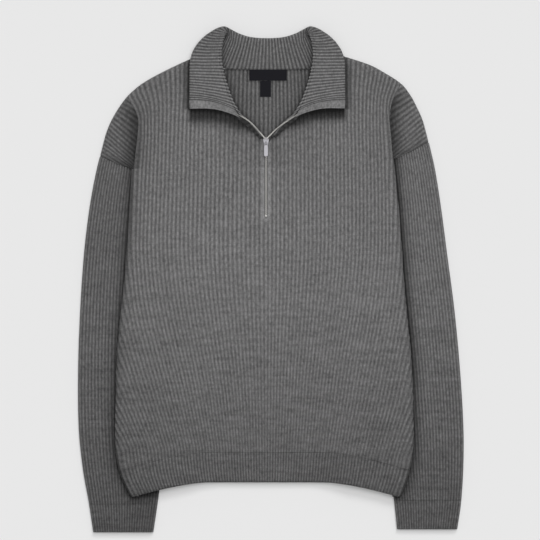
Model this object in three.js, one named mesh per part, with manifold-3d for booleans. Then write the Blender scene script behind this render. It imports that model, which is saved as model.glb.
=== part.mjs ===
// A rib-knit quarter zip sweater, laid flat on its back with its sleeves drawn down and tucked
// under its sides. Millimetres: X runs across the garment, Y from hem to collar, Z up off the
// surface that it lies on. The origin is the middle of its footprint, on that surface.
//
// Places are given as a distance `out` to the left or right of the zip, and a height `y`.
// The cloth runs in ribs, so each panel is a sheet whose columns follow the ribs.

import * as THREE from "three";
import Module from "manifold-3d";
import { mergeVertices } from "three/addons/utils/BufferGeometryUtils.js";

const wasm = await Module();
wasm.setup();

// Cloth
const WALL = 3.0; // thickness of the knit under its ribs
const RIB = 1.2; // how far a rib stands up
const GAP = 0.4; // clearance between pieces at a seam
const ZIP_X = -7.5; // the zip lies a little left of the middle of the footprint

// Layers, from the surface up
const SLEEVE_TOP = 7.6; // a flattened sleeve with its ribs
const LIFT = 8.2; // underside of the body where it lies on a sleeve
const BACK_WALL = 3.0;
const FOLD_LAYER = 2.6; // more cloth at the sides, where the body is folded under
const LAYER_AIR = 0.6; // between the back and the front
const PUFF = 2.4; // the front stands off the back in the middle

// Body
const RIBS_PER_HALF = 48; // from the zip to the side seam
const SEAM_Y = -259.5; // hem band's seam, at the middle
const HEM_Y = -303.8; // hem's edge, at the middle
const HEM_DIP = 22.5; // how far the hem's corners hang below its middle
const HEM_FLAT = 90; // the hem is straight this far each side of the zip
const HEM_RUN = 112; // and dips over this distance
const DIP_ENDS_Y = -60; // above this the rows of knitting are straight
const UNDERARM_MIDDLE_Y = 170; // the row that joins the two underarms, at the zip
const EDGE_ROUND = 8; // width over which a side edge turns down
const SHOULDER_ROUND = 7; // the same along the shoulder
const LIFT_FROM = 60; // the body climbs onto the sleeves between these two
const LIFT_FULL = 138;
const PLACKET = 7.5; // half width of the plain band that holds the zip
const PLACKET_END_Y = 86;
const SLIT_HALF = 1.9;
const SLIT_BOTTOM_Y = 94.5;

// The body's side edges and the distance from rib to rib, by height
const BODY_ROWS = [
  { y: -326, left: 198.0, right: 202.0, leftRib: 4.12, rightRib: 4.2 },
  { y: -294, left: 213.8, right: 213.6, leftRib: 4.36, rightRib: 4.35 },
  { y: -261, left: 221.3, right: 221.0, leftRib: 4.63, rightRib: 4.6 },
  { y: -225, left: 223.6, right: 222.6, leftRib: 4.93, rightRib: 4.83 },
  { y: -186, left: 224.2, right: 222.0, leftRib: 5.25, rightRib: 5.07 },
  { y: -112, left: 223.2, right: 218.6, leftRib: 5.75, rightRib: 5.37 },
  { y: -50, left: 218.3, right: 212.3, leftRib: 6.1, rightRib: 5.6 },
  { y: 0, left: 213.4, right: 207.8, leftRib: 6.27, rightRib: 5.72 },
  { y: 48, left: 210.0, right: 204.6, leftRib: 6.35, rightRib: 5.8 },
  { y: 111, left: 205.6, right: 199.6, leftRib: 6.3, rightRib: 5.82 },
  { y: 182, left: 201.0, right: 192.0, leftRib: 6.2, rightRib: 5.8 },
];

// Where each rib ends: along the neckline, the shoulder and the cap's edge
const LEFT_TOP = [
  { rib: 0, out: 2.2, y: 212 },
  { rib: 1.7, out: 10.5, y: 221 },
  { rib: 3.1, out: 19.5, y: 231 },
  { rib: 4.6, out: 28.5, y: 239.5 },
  { rib: 6.05, out: 37.5, y: 247 },
  { rib: 7.3, out: 45, y: 257 },
  { rib: 8.3, out: 51, y: 270 },
  { rib: 9.3, out: 57, y: 286 },
  { rib: 10.1, out: 61.5, y: 307 },
  { rib: 11.2, out: 72, y: 316 },
  { rib: 12.6, out: 84, y: 324 },
  { rib: 14, out: 88.5, y: 343 },
  { rib: 18.8, out: 117, y: 331 },
  { rib: 24, out: 156, y: 312.5 },
  { rib: 28, out: 187.5, y: 294.5 },
  { rib: 31.5, out: 208.5, y: 276 },
  { rib: 35, out: 222, y: 258 },
  { rib: 38.2, out: 232.5, y: 240 },
  { rib: 41.4, out: 240, y: 222 },
  { rib: 44.6, out: 245, y: 204 },
  { rib: 48, out: 250, y: 184.5 },
];
const RIGHT_TOP = [
  { rib: 0, out: 2.2, y: 212 },
  { rib: 2.3, out: 14, y: 221 },
  { rib: 3.9, out: 23, y: 231 },
  { rib: 5.5, out: 32.5, y: 239.5 },
  { rib: 7.1, out: 41.5, y: 247 },
  { rib: 8.4, out: 49, y: 257 },
  { rib: 9.4, out: 55, y: 270 },
  { rib: 10.4, out: 61, y: 286 },
  { rib: 11.2, out: 65.5, y: 307 },
  { rib: 12.4, out: 76, y: 316 },
  { rib: 13.9, out: 88, y: 324 },
  { rib: 15.4, out: 92, y: 343 },
  { rib: 20.4, out: 120, y: 333.5 },
  { rib: 25.4, out: 156, y: 322.5 },
  { rib: 29, out: 178, y: 311.5 },
  { rib: 33.5, out: 202.5, y: 294 },
  { rib: 36.6, out: 216, y: 276 },
  { rib: 39.6, out: 225, y: 258 },
  { rib: 42.6, out: 233.5, y: 240 },
  { rib: 45.4, out: 238.5, y: 222 },
  { rib: 48, out: 243.5, y: 205 },
];

// The back's neckline, as a share of the way to the shoulder's neck point
const BACK_NECK = [
  { share: 0, out: 1.5, y: 317.6 },
  { share: 0.3, out: 26, y: 317.6 },
  { share: 0.5, out: 43, y: 317.8 },
  { share: 0.66, out: 56, y: 317 },
  { share: 0.77, out: 66, y: 317.6 },
  { share: 0.88, out: 80, y: 321 },
  { share: 0.95, out: 86.5, y: 330 },
];

// The crease where the body folds over the cap, from the underarm (0) to the shoulder (1)
const LEFT_CREASE = [
  { up: 0, out: 197.5 },
  { up: 0.25, out: 194.5 },
  { up: 0.5, out: 192 },
  { up: 0.75, out: 193 },
  { up: 1, out: 208.5 },
];
const RIGHT_CREASE = [
  { up: 0, out: 188 },
  { up: 0.25, out: 185.5 },
  { up: 0.5, out: 184 },
  { up: 0.75, out: 187 },
  { up: 1, out: 202.5 },
];

const SIDES = {
  left: {
    sign: -1, top: LEFT_TOP, crease: LEFT_CREASE, creaseRib: 31.5, underarmY: 166,
    cuffSeamY: -337.5, cuffEndY: -379, headInnerY: 148,
  },
  right: {
    sign: 1, top: RIGHT_TOP, crease: RIGHT_CREASE, creaseRib: 33.5, underarmY: 181,
    cuffSeamY: -331.5, cuffEndY: -374.5, headInnerY: 156,
  },
};

// Sleeves: outer and inner edge by height
const SLEEVE_RIBS = 25; // across the top of a flattened sleeve
const SLEEVE_ROWS = [
  { y: -380, left: 259.5, leftInner: 169.5, right: 286.5, rightInner: 197.5 },
  { y: -336, left: 266.0, leftInner: 163.0, right: 293.0, rightInner: 193.0 },
  { y: -285, left: 275.0, leftInner: 157.0, right: 296.4, rightInner: 186.0 },
  { y: -225, left: 281.2, leftInner: 156.0, right: 296.8, rightInner: 181.0 },
  { y: -138, left: 282.3, leftInner: 157.0, right: 291.8, rightInner: 174.0 },
  { y: -48, left: 279.3, leftInner: 157.0, right: 283.5, rightInner: 166.0 },
  { y: 42, left: 273.2, leftInner: 154.0, right: 271.8, rightInner: 155.0 },
  { y: 114, left: 264.3, leftInner: 150.0, right: 262.3, rightInner: 149.0 },
  { y: 168, left: 254.0, leftInner: 146.0, right: 252.5, rightInner: 146.0 },
  { y: 206, left: 244.0, leftInner: 146.0, right: 243.5, rightInner: 146.0 },
];
const SLEEVE_WALL = 2.4;
const SLEEVE_EDGE_Z = 3.4; // height of a sleeve's folded edges

// Collar: one section for each row, from the zip's edge to the middle of the back. Each goes
// up from the neck seam and over the roll to the collar's edge, along the side that shows.
// `bend` bows the turned-out part, and `turn` says how far it is turned out.
const COLLAR_SECTIONS = [
  { seam: [11, 211, 12], roll: [4.7, 213.8, 14.4], edge: [116, 258, 15], bend: 31, turn: 1 },
  { seam: [31, 231, 12], roll: [23, 236, 15], edge: [116.4, 264, 15], bend: 21, turn: 1 },
  { seam: [46, 244, 12], roll: [37, 248, 15.5], edge: [116.6, 270, 15], bend: 14, turn: 1 },
  { seam: [57, 263, 12], roll: [48.5, 265, 16], edge: [116.7, 279, 15], bend: 5, turn: 1 },
  { seam: [63, 279, 12], roll: [54.5, 279.5, 16], edge: [116.8, 288, 15], bend: 2, turn: 1 },
  { seam: [69, 299, 12], roll: [61, 299, 16.2], edge: [116.8, 300, 15], bend: 0, turn: 1 },
  { seam: [73, 314, 12], roll: [65.2, 315, 16.4], edge: [116.4, 312, 15], bend: 0, turn: 1 },
  { seam: [75.5, 326, 12], roll: [67.6, 330, 16.6], edge: [115, 324, 15], bend: -1, turn: 1 },
  { seam: [77.5, 332, 12], roll: [68, 343, 17], edge: [111.5, 337, 15], bend: -2, turn: 1 },
  { seam: [79.5, 336, 11], roll: [66.6, 353.5, 17.6], edge: [105, 349, 15.4], bend: -3, turn: 1 },
  { seam: [80.5, 338, 9.6], roll: [64.5, 362, 18.2], edge: [96, 360.5, 16.4], bend: -3, turn: 0.9 },
  { seam: [80.5, 338, 8], roll: [61.8, 368.5, 18.6], edge: [86, 369.6, 17.4], bend: -2, turn: 0.6 },
  { seam: [79, 335, 6.4], roll: [59.5, 371, 18], edge: [75.5, 377, 18.4], bend: 0, turn: 0.3 },
  { seam: [76, 329, 5], roll: [58, 368, 16], edge: [64.5, 379.4, 19], bend: 0, turn: 0 },
  { seam: [71, 321, 4.4], roll: [54.5, 361, 13], edge: [55, 375, 18.4], bend: 0, turn: 0 },
  { seam: [62, 316, 4.2], roll: [47.5, 352, 9.6], edge: [43.5, 369.4, 17], bend: 0, turn: 0 },
  { seam: [41, 315, 4.2], roll: [33.5, 346, 7.4], edge: [29, 364.6, 15.6], bend: 0, turn: 0 },
  { seam: [20, 314.6, 4.2], roll: [16.6, 342.5, 6.8], edge: [14, 362.6, 14.8], bend: 0, turn: 0 },
  { seam: [0, 314.5, 4.2], roll: [0, 341.5, 6.6], edge: [0, 362.2, 14.6], bend: 0, turn: 0 },
];
const COLLAR_X = -5.6; // the collar's middle
const COLLAR_WALL = 2.8;
const COLLAR_PITCH = 5.1; // rib to rib along the middle of the turned-out part
const PLAIN_SECTIONS = 2; // the band along the zip has no ribs as far as this section

// Zip
const CHAIN_PATH = [ // how far out from the collar's middle, y and z
  [6, 215.4, 16.4], [11, 221.2, 17.2], [18.5, 229.8, 17.8], [26, 237, 18.3], [33.5, 241.8, 18.5],
  [41, 245, 18.2], [50, 249, 17.4], [60.5, 252.6, 17], [74, 255.3, 16.8], [89, 256.8, 16.6],
  [104, 257.4, 16.6], [113.6, 257.7, 16.6],
];
const TAPE_HALF = 11;
const TAPE_Z = [3.6, 4.6];
const CHAIN_HALF = 1.4;
const CHAIN_TOP = 8.4;
const SLIDER_Y = [200, 212];
const SLIDER_HALF = 4.2;
const SLIDER_Z = [9.8, 12.4];
const HINGE_Y = 205.6;
const HINGE_UP = 1.3; // above the slider's top
const PULL_HALF = 3.4;
const PULL_LENGTH = 21;
const PULL_THICK = 1.2;
const LABEL = { half: 28.5, y: [297.5, 313], z: [3.3, 4.1] };
const SIZE_TAB = { half: 9, y: [276, 297.1], z: [3.3, 4.1] };

for (const side of Object.values(SIDES)) {
  const shoulder = side.top.filter((row) => row.y > 330 || row.out > 100);
  side.backTop = [
    ...BACK_NECK.map(({ share, out, y }) => ({ rib: share * shoulder[0].rib, out, y })),
    ...shoulder,
  ];
}

const clamp01 = (t) => Math.min(1, Math.max(0, t));
const lerp = (a, b, t) => a + (b - a) * t;
const smooth = (from, to, value) => {
  const t = clamp01((value - from) / (to - from));
  return t * t * (3 - 2 * t);
};

// A smooth curve through a table's column, by another of its columns.
function along(table, key, column, value) {
  const last = table.length - 1;
  let i = 0;
  while (i < last - 1 && value > table[i + 1][key]) i += 1;
  const slope = (k) => {
    const a = Math.max(0, k - 1);
    const b = Math.min(last, k + 1);
    return (table[b][column] - table[a][column]) / (table[b][key] - table[a][key]);
  };
  const width = table[i + 1][key] - table[i][key];
  const t = clamp01((value - table[i][key]) / width);
  const [p, q] = [table[i][column], table[i + 1][column]];
  const [m, n] = [slope(i) * width, slope(i + 1) * width];
  return (2 * t ** 3 - 3 * t ** 2 + 1) * p + (t ** 3 - 2 * t ** 2 + t) * m
    + (3 * t ** 2 - 2 * t ** 3) * q + (t ** 3 - t ** 2) * n;
}

// One place on the body: where the inside of the front lies, which way its outside faces,
// and how high the back's underside is there.
function spot(side, out, y, { z, under, back, folded = false, tiltOut = 0, tiltX = 0, tiltY = 0 }) {
  const up = Math.sqrt(Math.max(0, 1 - tiltOut ** 2 - tiltX ** 2 - tiltY ** 2));
  return {
    x: ZIP_X + side.sign * out, y, z, under, back, folded,
    normal: new THREE.Vector3(side.sign * (tiltOut + tiltX), tiltY, up).normalize(),
  };
}

const puffAt = (out, y) => PUFF * (1 - smooth(40, 150, out)) * (1 - smooth(230, 300, y));
const liftAt = (out) => smooth(LIFT_FROM, LIFT_FULL, out);

// The body below the underarms: rib number `rib`, in the row that crosses the zip at `row`.
function lowerBody(side, rib, row) {
  const name = side.sign < 0 ? "left" : "right";
  const sideRow = lerp(0, side.underarmY - UNDERARM_MIDDLE_Y, smooth(DIP_ENDS_Y, UNDERARM_MIDDLE_Y, row));
  let y = row;
  let out = 0;
  let turn = 0;
  const drop = LIFT + BACK_WALL + FOLD_LAYER + LAYER_AIR - (LIFT + GAP);
  const turnLength = Math.sqrt((EDGE_ROUND ** 2 + drop ** 2) / 2);
  for (let step = 0; step < 4; step += 1) {
    const edge = along(BODY_ROWS, "y", name, y) - WALL - RIB;
    const flat = edge - EDGE_ROUND;
    const reach = flat + (turnLength * Math.PI) / 2;
    const pitch = Math.max(along(BODY_ROWS, "y", name + "Rib", y), reach / RIBS_PER_HALF);
    const arc = rib * pitch;
    turn = clamp01((arc - flat) / (reach - flat)) * (Math.PI / 2);
    out = turn > 0 ? flat + EDGE_ROUND * Math.sin(turn) : arc;
    const dip = HEM_DIP * Math.max(0, (out - HEM_FLAT) / HEM_RUN) ** 1.5;
    y = row - dip * smooth(DIP_ENDS_Y, SEAM_Y, row) + sideRow * (out / edge) ** 2;
  }
  const lift = liftAt(out);
  const flatZ = LIFT * lift + BACK_WALL + FOLD_LAYER * lift + LAYER_AIR + puffAt(out, y);
  const length = Math.hypot(drop * Math.sin(turn), EDGE_ROUND * Math.cos(turn));
  return spot(side, out, y, {
    z: flatZ - drop * (1 - Math.cos(turn)),
    under: LIFT * lift,
    back: (LIFT + FOLD_LAYER) * lift + BACK_WALL,
    folded: turn >= Math.PI / 2,
    tiltOut: turn > 0 ? (drop * Math.sin(turn)) / length : 0,
  });
}

// The body above the underarms: `up` goes from 0 at the underarm to 1 at the shoulder. Ribs
// past the crease belong to the cap, and come out from under the fold one by one.
function upperBody(side, rib, up, table) {
  const fade = 1 - smooth(0, 0.7, up);
  const creaseOut = along(side.crease, "up", "out", up);
  const topOf = (k) => ({
    out: along(table, "rib", "out", k), y: along(table, "rib", "y", k),
  });
  const creaseAt = (level) => {
    const top = topOf(side.creaseRib);
    return {
      out: along(side.crease, "up", "out", level),
      y: lerp(side.underarmY, top.y, level),
    };
  };
  const capZ = BACK_WALL + LAYER_AIR;
  const shoulderInset = (length) => (WALL + 0.4) / length;
  if (rib > side.creaseRib) {
    const leaves = 1 - (rib - side.creaseRib) / (RIBS_PER_HALF - side.creaseRib);
    const from = creaseAt(Math.min(leaves, up));
    const top = topOf(rib);
    const length = Math.hypot(top.out - from.out, top.y - from.y);
    const t = up <= leaves ? 0 : ((up - leaves) / (1 - leaves)) * (1 - shoulderInset(length));
    const rest = (1 - shoulderInset(length) - t) * length;
    const sine = up <= leaves ? 0 : Math.max(0, 1 - rest / SHOULDER_ROUND);
    const hold = (LIFT + GAP - capZ) * (1 - smooth(0, 0.16, Math.min(up, leaves)))
      * (1 - smooth(0, 0.22, t));
    return spot(side, lerp(from.out, top.out, t), lerp(from.y, top.y, t), {
      z: capZ + hold - 0.2 * sine,
      under: 0,
      back: capZ + hold - LAYER_AIR,
      folded: up <= leaves,
      tiltX: (sine * 0.97 * (top.out - from.out)) / length,
      tiltY: (sine * 0.97 * (top.y - from.y)) / length,
    });
  }
  const low = lowerBody(side, rib, UNDERARM_MIDDLE_Y);
  const lowOut = Math.abs(low.x - ZIP_X);
  const top = topOf(rib);
  const length = Math.hypot(top.out - lowOut, top.y - low.y);
  const inset = up * (1 - shoulderInset(length));
  const fan = inset ** 2;
  const share = (rib / side.creaseRib) ** 5;
  const edgeLow = creaseAt(0).out;
  const edgeTop = topOf(side.creaseRib).out;
  const plain = lerp(lowOut, top.out, fan);
  const creasePlain = lerp(edgeLow, edgeTop, fan);
  const out = plain + (creaseOut - creasePlain) * share;
  const y = lerp(low.y, top.y, inset);
  const rest = (1 - shoulderInset(length) - inset) * length;
  const onShoulder = smooth(90, 110, out);
  const sine = Math.max(0, 1 - rest / SHOULDER_ROUND) * onShoulder;
  const lift = liftAt(out) * fade;
  const flatZ = LIFT * lift + BACK_WALL + FOLD_LAYER * lift + LAYER_AIR
    + puffAt(out, y) * (1 - onShoulder * smooth(0.6, 1, up));
  const near = Math.max(0, 1 - Math.max(0, creaseOut - out) / EDGE_ROUND);
  const fall = Math.max(0, flatZ - capZ) * smooth(0, 0.05, fade + 0.02);
  const curl = 1 - Math.sqrt(Math.max(0, 1 - near ** 2));
  const cos = Math.sqrt(Math.max(0.0004, 1 - near ** 2));
  const bend = (fall * near) / Math.hypot(fall * near, EDGE_ROUND * cos);
  const atCrease = rib >= side.creaseRib;
  const floor = atCrease ? (LIFT + GAP - capZ) * (1 - smooth(0, 0.16, up)) : 0;
  return spot(side, out, y, {
    z: (atCrease ? capZ + floor : flatZ - fall * curl) - 0.2 * sine,
    under: atCrease ? 0 : LIFT * lift * (1 - curl),
    back: (LIFT + FOLD_LAYER) * lift + BACK_WALL,
    folded: atCrease,
    tiltOut: atCrease ? 0 : Math.min(0.96, bend) * (1 - sine),
    tiltX: (sine * 0.9 * (top.out - lowOut)) / length,
    tiltY: (sine * 0.9 * (top.y - low.y)) / length,
  });
}

// `level` is below 0 for the lower body, from -1 at the hem band, and above 0 for the upper.
function body(column, level, back = false) {
  const side = column < 0 ? SIDES.left : SIDES.right;
  const rib = Math.abs(column);
  return level <= 0
    ? lowerBody(side, rib, lerp(UNDERARM_MIDDLE_Y, SEAM_Y, -level))
    : upperBody(side, rib, level, back ? side.backTop : side.top);
}

// Height of the ribs at a column: 1 on a rib's crest and 0 between ribs, and none on the
// plain bands beside the zip.
function ribAt(column, place) {
  const crest = Math.abs(column - Math.round(column)) < 0.25 ? 1 : 0;
  const beside = Math.abs(place.x - ZIP_X) < PLACKET && place.y > PLACKET_END_Y;
  if (place.folded) return 0;
  return beside ? 0.35 : crest;
}

const offset = (place, distance) => new THREE.Vector3(place.x, place.y, place.z)
  .addScaledVector(place.normal, distance);

const steps = (from, to, count) =>
  Array.from({ length: count + 1 }, (_, i) => lerp(from, to, i / count));

// Triangles of a grid of points, each row as long as the others.
function gridTriangles(points, flip, triangles) {
  for (let j = 0; j + 1 < points.length; j += 1) {
    for (let i = 0; i + 1 < points[j].length; i += 1) {
      const [a, b, c, d] = [points[j][i], points[j][i + 1], points[j + 1][i + 1], points[j + 1][i]];
      if (flip) triangles.push([a, c, b], [a, d, c]);
      else triangles.push([a, b, c], [a, c, d]);
    }
  }
}

// Triangles of a strip between two lines that may have different numbers of points.
function stripTriangles(lineA, lineB, triangles) {
  let [i, j] = [0, 0];
  while (i < lineA.length - 1 || j < lineB.length - 1) {
    const nextA = (i + 1) / (lineA.length - 1);
    const nextB = (j + 1) / (lineB.length - 1);
    if (j >= lineB.length - 1 || (i < lineA.length - 1 && nextA <= nextB)) {
      triangles.push([lineA[i], lineB[j], lineA[i + 1]]);
      i += 1;
    } else {
      triangles.push([lineA[i], lineB[j], lineB[j + 1]]);
      j += 1;
    }
  }
}

// One closed body from triangles of points: shared points are merged and flat ones dropped.
function solidGeometry(triangles) {
  const flat = new Float32Array(triangles.length * 9);
  triangles.forEach((triangle, t) => triangle.forEach((p, k) => p.toArray(flat, t * 9 + k * 3)));
  const loose = new THREE.BufferGeometry();
  loose.setAttribute("position", new THREE.BufferAttribute(flat, 3));
  const merged = mergeVertices(loose, 2e-3);
  const kept = [];
  const index = merged.index.array;
  for (let t = 0; t < index.length; t += 3) {
    const [a, b, c] = [index[t], index[t + 1], index[t + 2]];
    if (a !== b && b !== c && a !== c) kept.push(a, b, c);
  }
  merged.setIndex(kept);
  return merged;
}

// A wall between an outer and an inner grid, closed round its four borders.
function wallGeometry(outer, inner) {
  const triangles = [];
  gridTriangles(outer, false, triangles);
  gridTriangles(inner, true, triangles);
  const column = (grid, i) => grid.map((row) => row[i]);
  stripTriangles(outer[0], inner[0], triangles);
  stripTriangles(inner.at(-1), outer.at(-1), triangles);
  stripTriangles(column(inner, 0), column(outer, 0), triangles);
  stripTriangles(column(outer, outer[0].length - 1), column(inner, inner[0].length - 1), triangles);
  return solidGeometry(triangles);
}

const toSolid = (geometry) => {
  const only = new THREE.BufferGeometry();
  only.setAttribute("position", geometry.getAttribute("position"));
  only.setIndex(geometry.index);
  const merged = mergeVertices(only, 1e-3);
  return new wasm.Manifold(new wasm.Mesh({
    numProp: 3,
    vertProperties: new Float32Array(merged.attributes.position.array),
    triVerts: new Uint32Array(merged.index.array),
  }));
};
const fromSolid = (solid) => {
  const mesh = solid.getMesh();
  const geometry = new THREE.BufferGeometry();
  geometry.setAttribute("position", new THREE.BufferAttribute(mesh.vertProperties, 3));
  geometry.setIndex(new THREE.BufferAttribute(mesh.triVerts, 1));
  return geometry;
};
const boxAt = ([x0, x1], [y0, y1], [z0, z1]) =>
  new THREE.BoxGeometry(x1 - x0, y1 - y0, z1 - z0)
    .translate((x0 + x1) / 2, (y0 + y1) / 2, (z0 + z1) / 2);

const KNIT = { color: 0x686868, roughness: 0.95, metalness: 0 };
const METAL = { color: 0xb4b2b0, roughness: 0.3, metalness: 1 };
const TAPE = { color: 0x4a4a4b, roughness: 0.9, metalness: 0 };
const LABEL_CLOTH = { color: 0x1e1d26, roughness: 0.7, metalness: 0 };

function node(name, geometry, finish) {
  geometry.deleteAttribute("normal");
  geometry.deleteAttribute("uv");
  const mesh = new THREE.Mesh(geometry, new THREE.MeshStandardMaterial(finish));
  mesh.name = name;
  geometry.computeVertexNormals();
  return mesh;
}

// Two columns a rib on the outside, and a plain inside with a column every two ribs.
const RIB_COLUMNS = steps(-RIBS_PER_HALF, RIBS_PER_HALF, 4 * RIBS_PER_HALF);
const PLAIN_COLUMNS = steps(-RIBS_PER_HALF, RIBS_PER_HALF, RIBS_PER_HALF);
const LOWER_LEVELS = [-1, -0.87, -0.71, -0.5, -0.25, 0];
const UPPER_LEVELS = [0.1, 0.26, 0.46, 0.7, 0.94, 1];
const LEVELS = [...LOWER_LEVELS, ...UPPER_LEVELS];

const ribbedFace = (place, column) => offset(place, WALL + RIB * ribAt(column, place));
const insideFace = (place) => offset(place, 0);
const backFace = (place) => {
  const steep = 1 - place.normal.z;
  const p = offset(place, -LAYER_AIR - 0.8 - 6.4 * steep);
  return p.setZ(Math.max(Math.min(p.z, place.back), place.under + 1));
};
const backUnderside = (place) => {
  const steep = 1 - place.normal.z;
  return offset(place, -LAYER_AIR - 2 - 6.4 * steep).setZ(place.under);
};

function frontPanel() {
  const outer = LEVELS.map((level) => RIB_COLUMNS.map((column) => ribbedFace(body(column, level), column)));
  const inner = LEVELS.map((level) => PLAIN_COLUMNS.map((column) => insideFace(body(column, level))));
  const slit = boxAt(
    [ZIP_X - SLIT_HALF, ZIP_X + SLIT_HALF], [SLIT_BOTTOM_Y, 260], [-5, 40],
  );
  return fromSolid(toSolid(wallGeometry(outer, inner)).subtract(toSolid(slit)));
}

// The back lies under the front: its upper face follows the front's inside.
function backPanel() {
  const levels = [-0.995, ...LEVELS.slice(1)];
  const face = (faceOf) => levels.map((level) => PLAIN_COLUMNS.map(
    (column) => faceOf(body(column, level, true))));
  return wallGeometry(face(backFace), face(backUnderside));
}

function hemBand(front) {
  const rows = steps(HEM_Y, SEAM_Y - (front ? GAP : GAP + 1.2), 2);
  const face = (columns, faceOf) => rows.map((row) => columns.map((column) => faceOf(
    lowerBody(column < 0 ? SIDES.left : SIDES.right, Math.abs(column), row), column)));
  return front
    ? wallGeometry(face(RIB_COLUMNS, ribbedFace), face(PLAIN_COLUMNS, insideFace))
    : wallGeometry(face(PLAIN_COLUMNS, backFace), face(PLAIN_COLUMNS, backUnderside));
}

// A flattened tube of cloth between two rows. `across` goes from -1 at its inner edge to 1.
function sleevePoint(side, across, y, inset, z) {
  const name = side.sign < 0 ? "left" : "right";
  const outer = along(SLEEVE_ROWS, "y", name, y) - inset;
  const inner = along(SLEEVE_ROWS, "y", name + "Inner", y) + inset;
  return new THREE.Vector3(ZIP_X + side.sign * lerp(inner, outer, (across + 1) / 2), y, z);
}
const edgeTurn = (across, from) => Math.max(0, (Math.abs(across) - from) / (1 - from));
const topZ = (across, height) => SLEEVE_EDGE_Z
  + (height - SLEEVE_EDGE_Z) * Math.sqrt(Math.max(0, 1 - edgeTurn(across, 0.86) ** 2));
const bottomZ = (across) => SLEEVE_EDGE_Z * (1 - Math.sqrt(Math.max(0, 1 - edgeTurn(across, 0.88) ** 2)));

function tubeGeometry(side, rows, rowY) {
  const count = 2 * SLEEVE_RIBS;
  const ribColumns = steps(-1, 1, count);
  const plainTop = [-1, -0.96, -0.86, -0.5, 0, 0.5, 0.86, 0.96, 1];
  const plainBottom = [1, 0.97, 0.9, 0.5, 0, -0.5, -0.9, -0.97, -1];
  const outerRing = (r) => [
    ...ribColumns.map((across, i) => {
      const crest = i % 2 === 1 ? RIB * 0.9 : 0;
      const height = topZ(across, SLEEVE_TOP - RIB) + crest * Math.sqrt(1 - edgeTurn(across, 0.9) ** 2);
      return sleevePoint(side, across, rowY(across, r), 0, height);
    }),
    ...plainBottom.slice(1).map((across) => sleevePoint(side, across, rowY(across, r), 0, bottomZ(across))),
  ];
  const innerHeight = (across) => SLEEVE_EDGE_Z
    + (topZ(across, SLEEVE_TOP - RIB - SLEEVE_WALL) - SLEEVE_EDGE_Z);
  const innerRing = (r) => [
    ...plainTop.map((across) => sleevePoint(
      side, across, rowY(across, r), SLEEVE_WALL, Math.max(3.3, innerHeight(across)))),
    ...plainBottom.slice(1, -1).map((across) => sleevePoint(
      side, across, rowY(across, r), SLEEVE_WALL, lerp(2.3, 3.0, edgeTurn(across, 0.8)))),
  ];
  const closed = (ring) => [...ring, ring[0]];
  const outer = rows.map((r) => closed(outerRing(r).slice(0, -1)));
  const inner = rows.map((r) => closed(innerRing(r)));
  const flip = side.sign > 0;
  const triangles = [];
  gridTriangles(outer, false, triangles);
  gridTriangles(inner, true, triangles);
  stripTriangles(outer[0], inner[0], triangles);
  stripTriangles(inner.at(-1), outer.at(-1), triangles);
  return solidGeometry(flip ? triangles : triangles.map(([a, b, c]) => [a, c, b]));
}

function sleeve(side) {
  const top = side.top.at(-1);
  const line = (out) => out > side.crease[0].out
    ? lerp(side.underarmY, top.y, (out - side.crease[0].out) / (top.out - side.crease[0].out))
    : lerp(side.headInnerY, side.underarmY, clamp01((out - 146) / (side.crease[0].out - 146)));
  const rowY = (across, r) => {
    const out = lerp(146, top.out + 1.5, (across + 1) / 2);
    return lerp(side.cuffSeamY + GAP / 2, line(out) - 1.4, r);
  };
  return tubeGeometry(side, [0, 0.1, 0.22, 0.36, 0.5, 0.64, 0.78, 0.9, 1], rowY);
}

const cuff = (side) => tubeGeometry(side, [0, 0.5, 1],
  (across, r) => lerp(side.cuffEndY, side.cuffSeamY - GAP / 2, r));

// The collar as a grid of sections: `along` counts ribs, and each section has the same points.
function collarCurve(section, sign) {
  const place = ([out, y, z]) => new THREE.Vector3(COLLAR_X + sign * out, y, z);
  const [seam, roll, edge] = [section.seam, section.roll, section.edge].map(place);
  const chord = new THREE.Vector3().subVectors(edge, roll);
  const sideways = new THREE.Vector3(-sign * chord.y, sign * chord.x, 0);
  sideways.normalize().multiplyScalar(section.bend);
  const middle = new THREE.Vector3().lerpVectors(roll, edge, 0.5).add(sideways);
  const under = new THREE.Vector3().lerpVectors(seam, roll, 0.7);
  under.z = lerp(under.z, lerp(seam.z, roll.z, 0.25), section.turn);
  const over = (t) => {
    const p = new THREE.Vector3()
      .addScaledVector(roll, (1 - t) ** 2)
      .addScaledVector(middle, 2 * t * (1 - t))
      .addScaledVector(edge, t ** 2);
    p.z += 1.3 * section.turn * smooth(0, 0.12, t) * smooth(0.7, 0.2, t);
    return p;
  };
  return [seam, under, roll, over(0.08), over(0.22), over(0.45), over(0.72), edge];
}

function collarGrid() {
  const keys = [
    ...COLLAR_SECTIONS.map((section) => collarCurve(section, -1)),
    ...COLLAR_SECTIONS.slice(0, -1).reverse().map((section) => collarCurve(section, 1)),
  ];
  const curves = keys[0].map(
    (_, k) => new THREE.CatmullRomCurve3(keys.map((row) => row[k]), false, "centripetal"));
  return { keys, curves };
}

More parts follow.
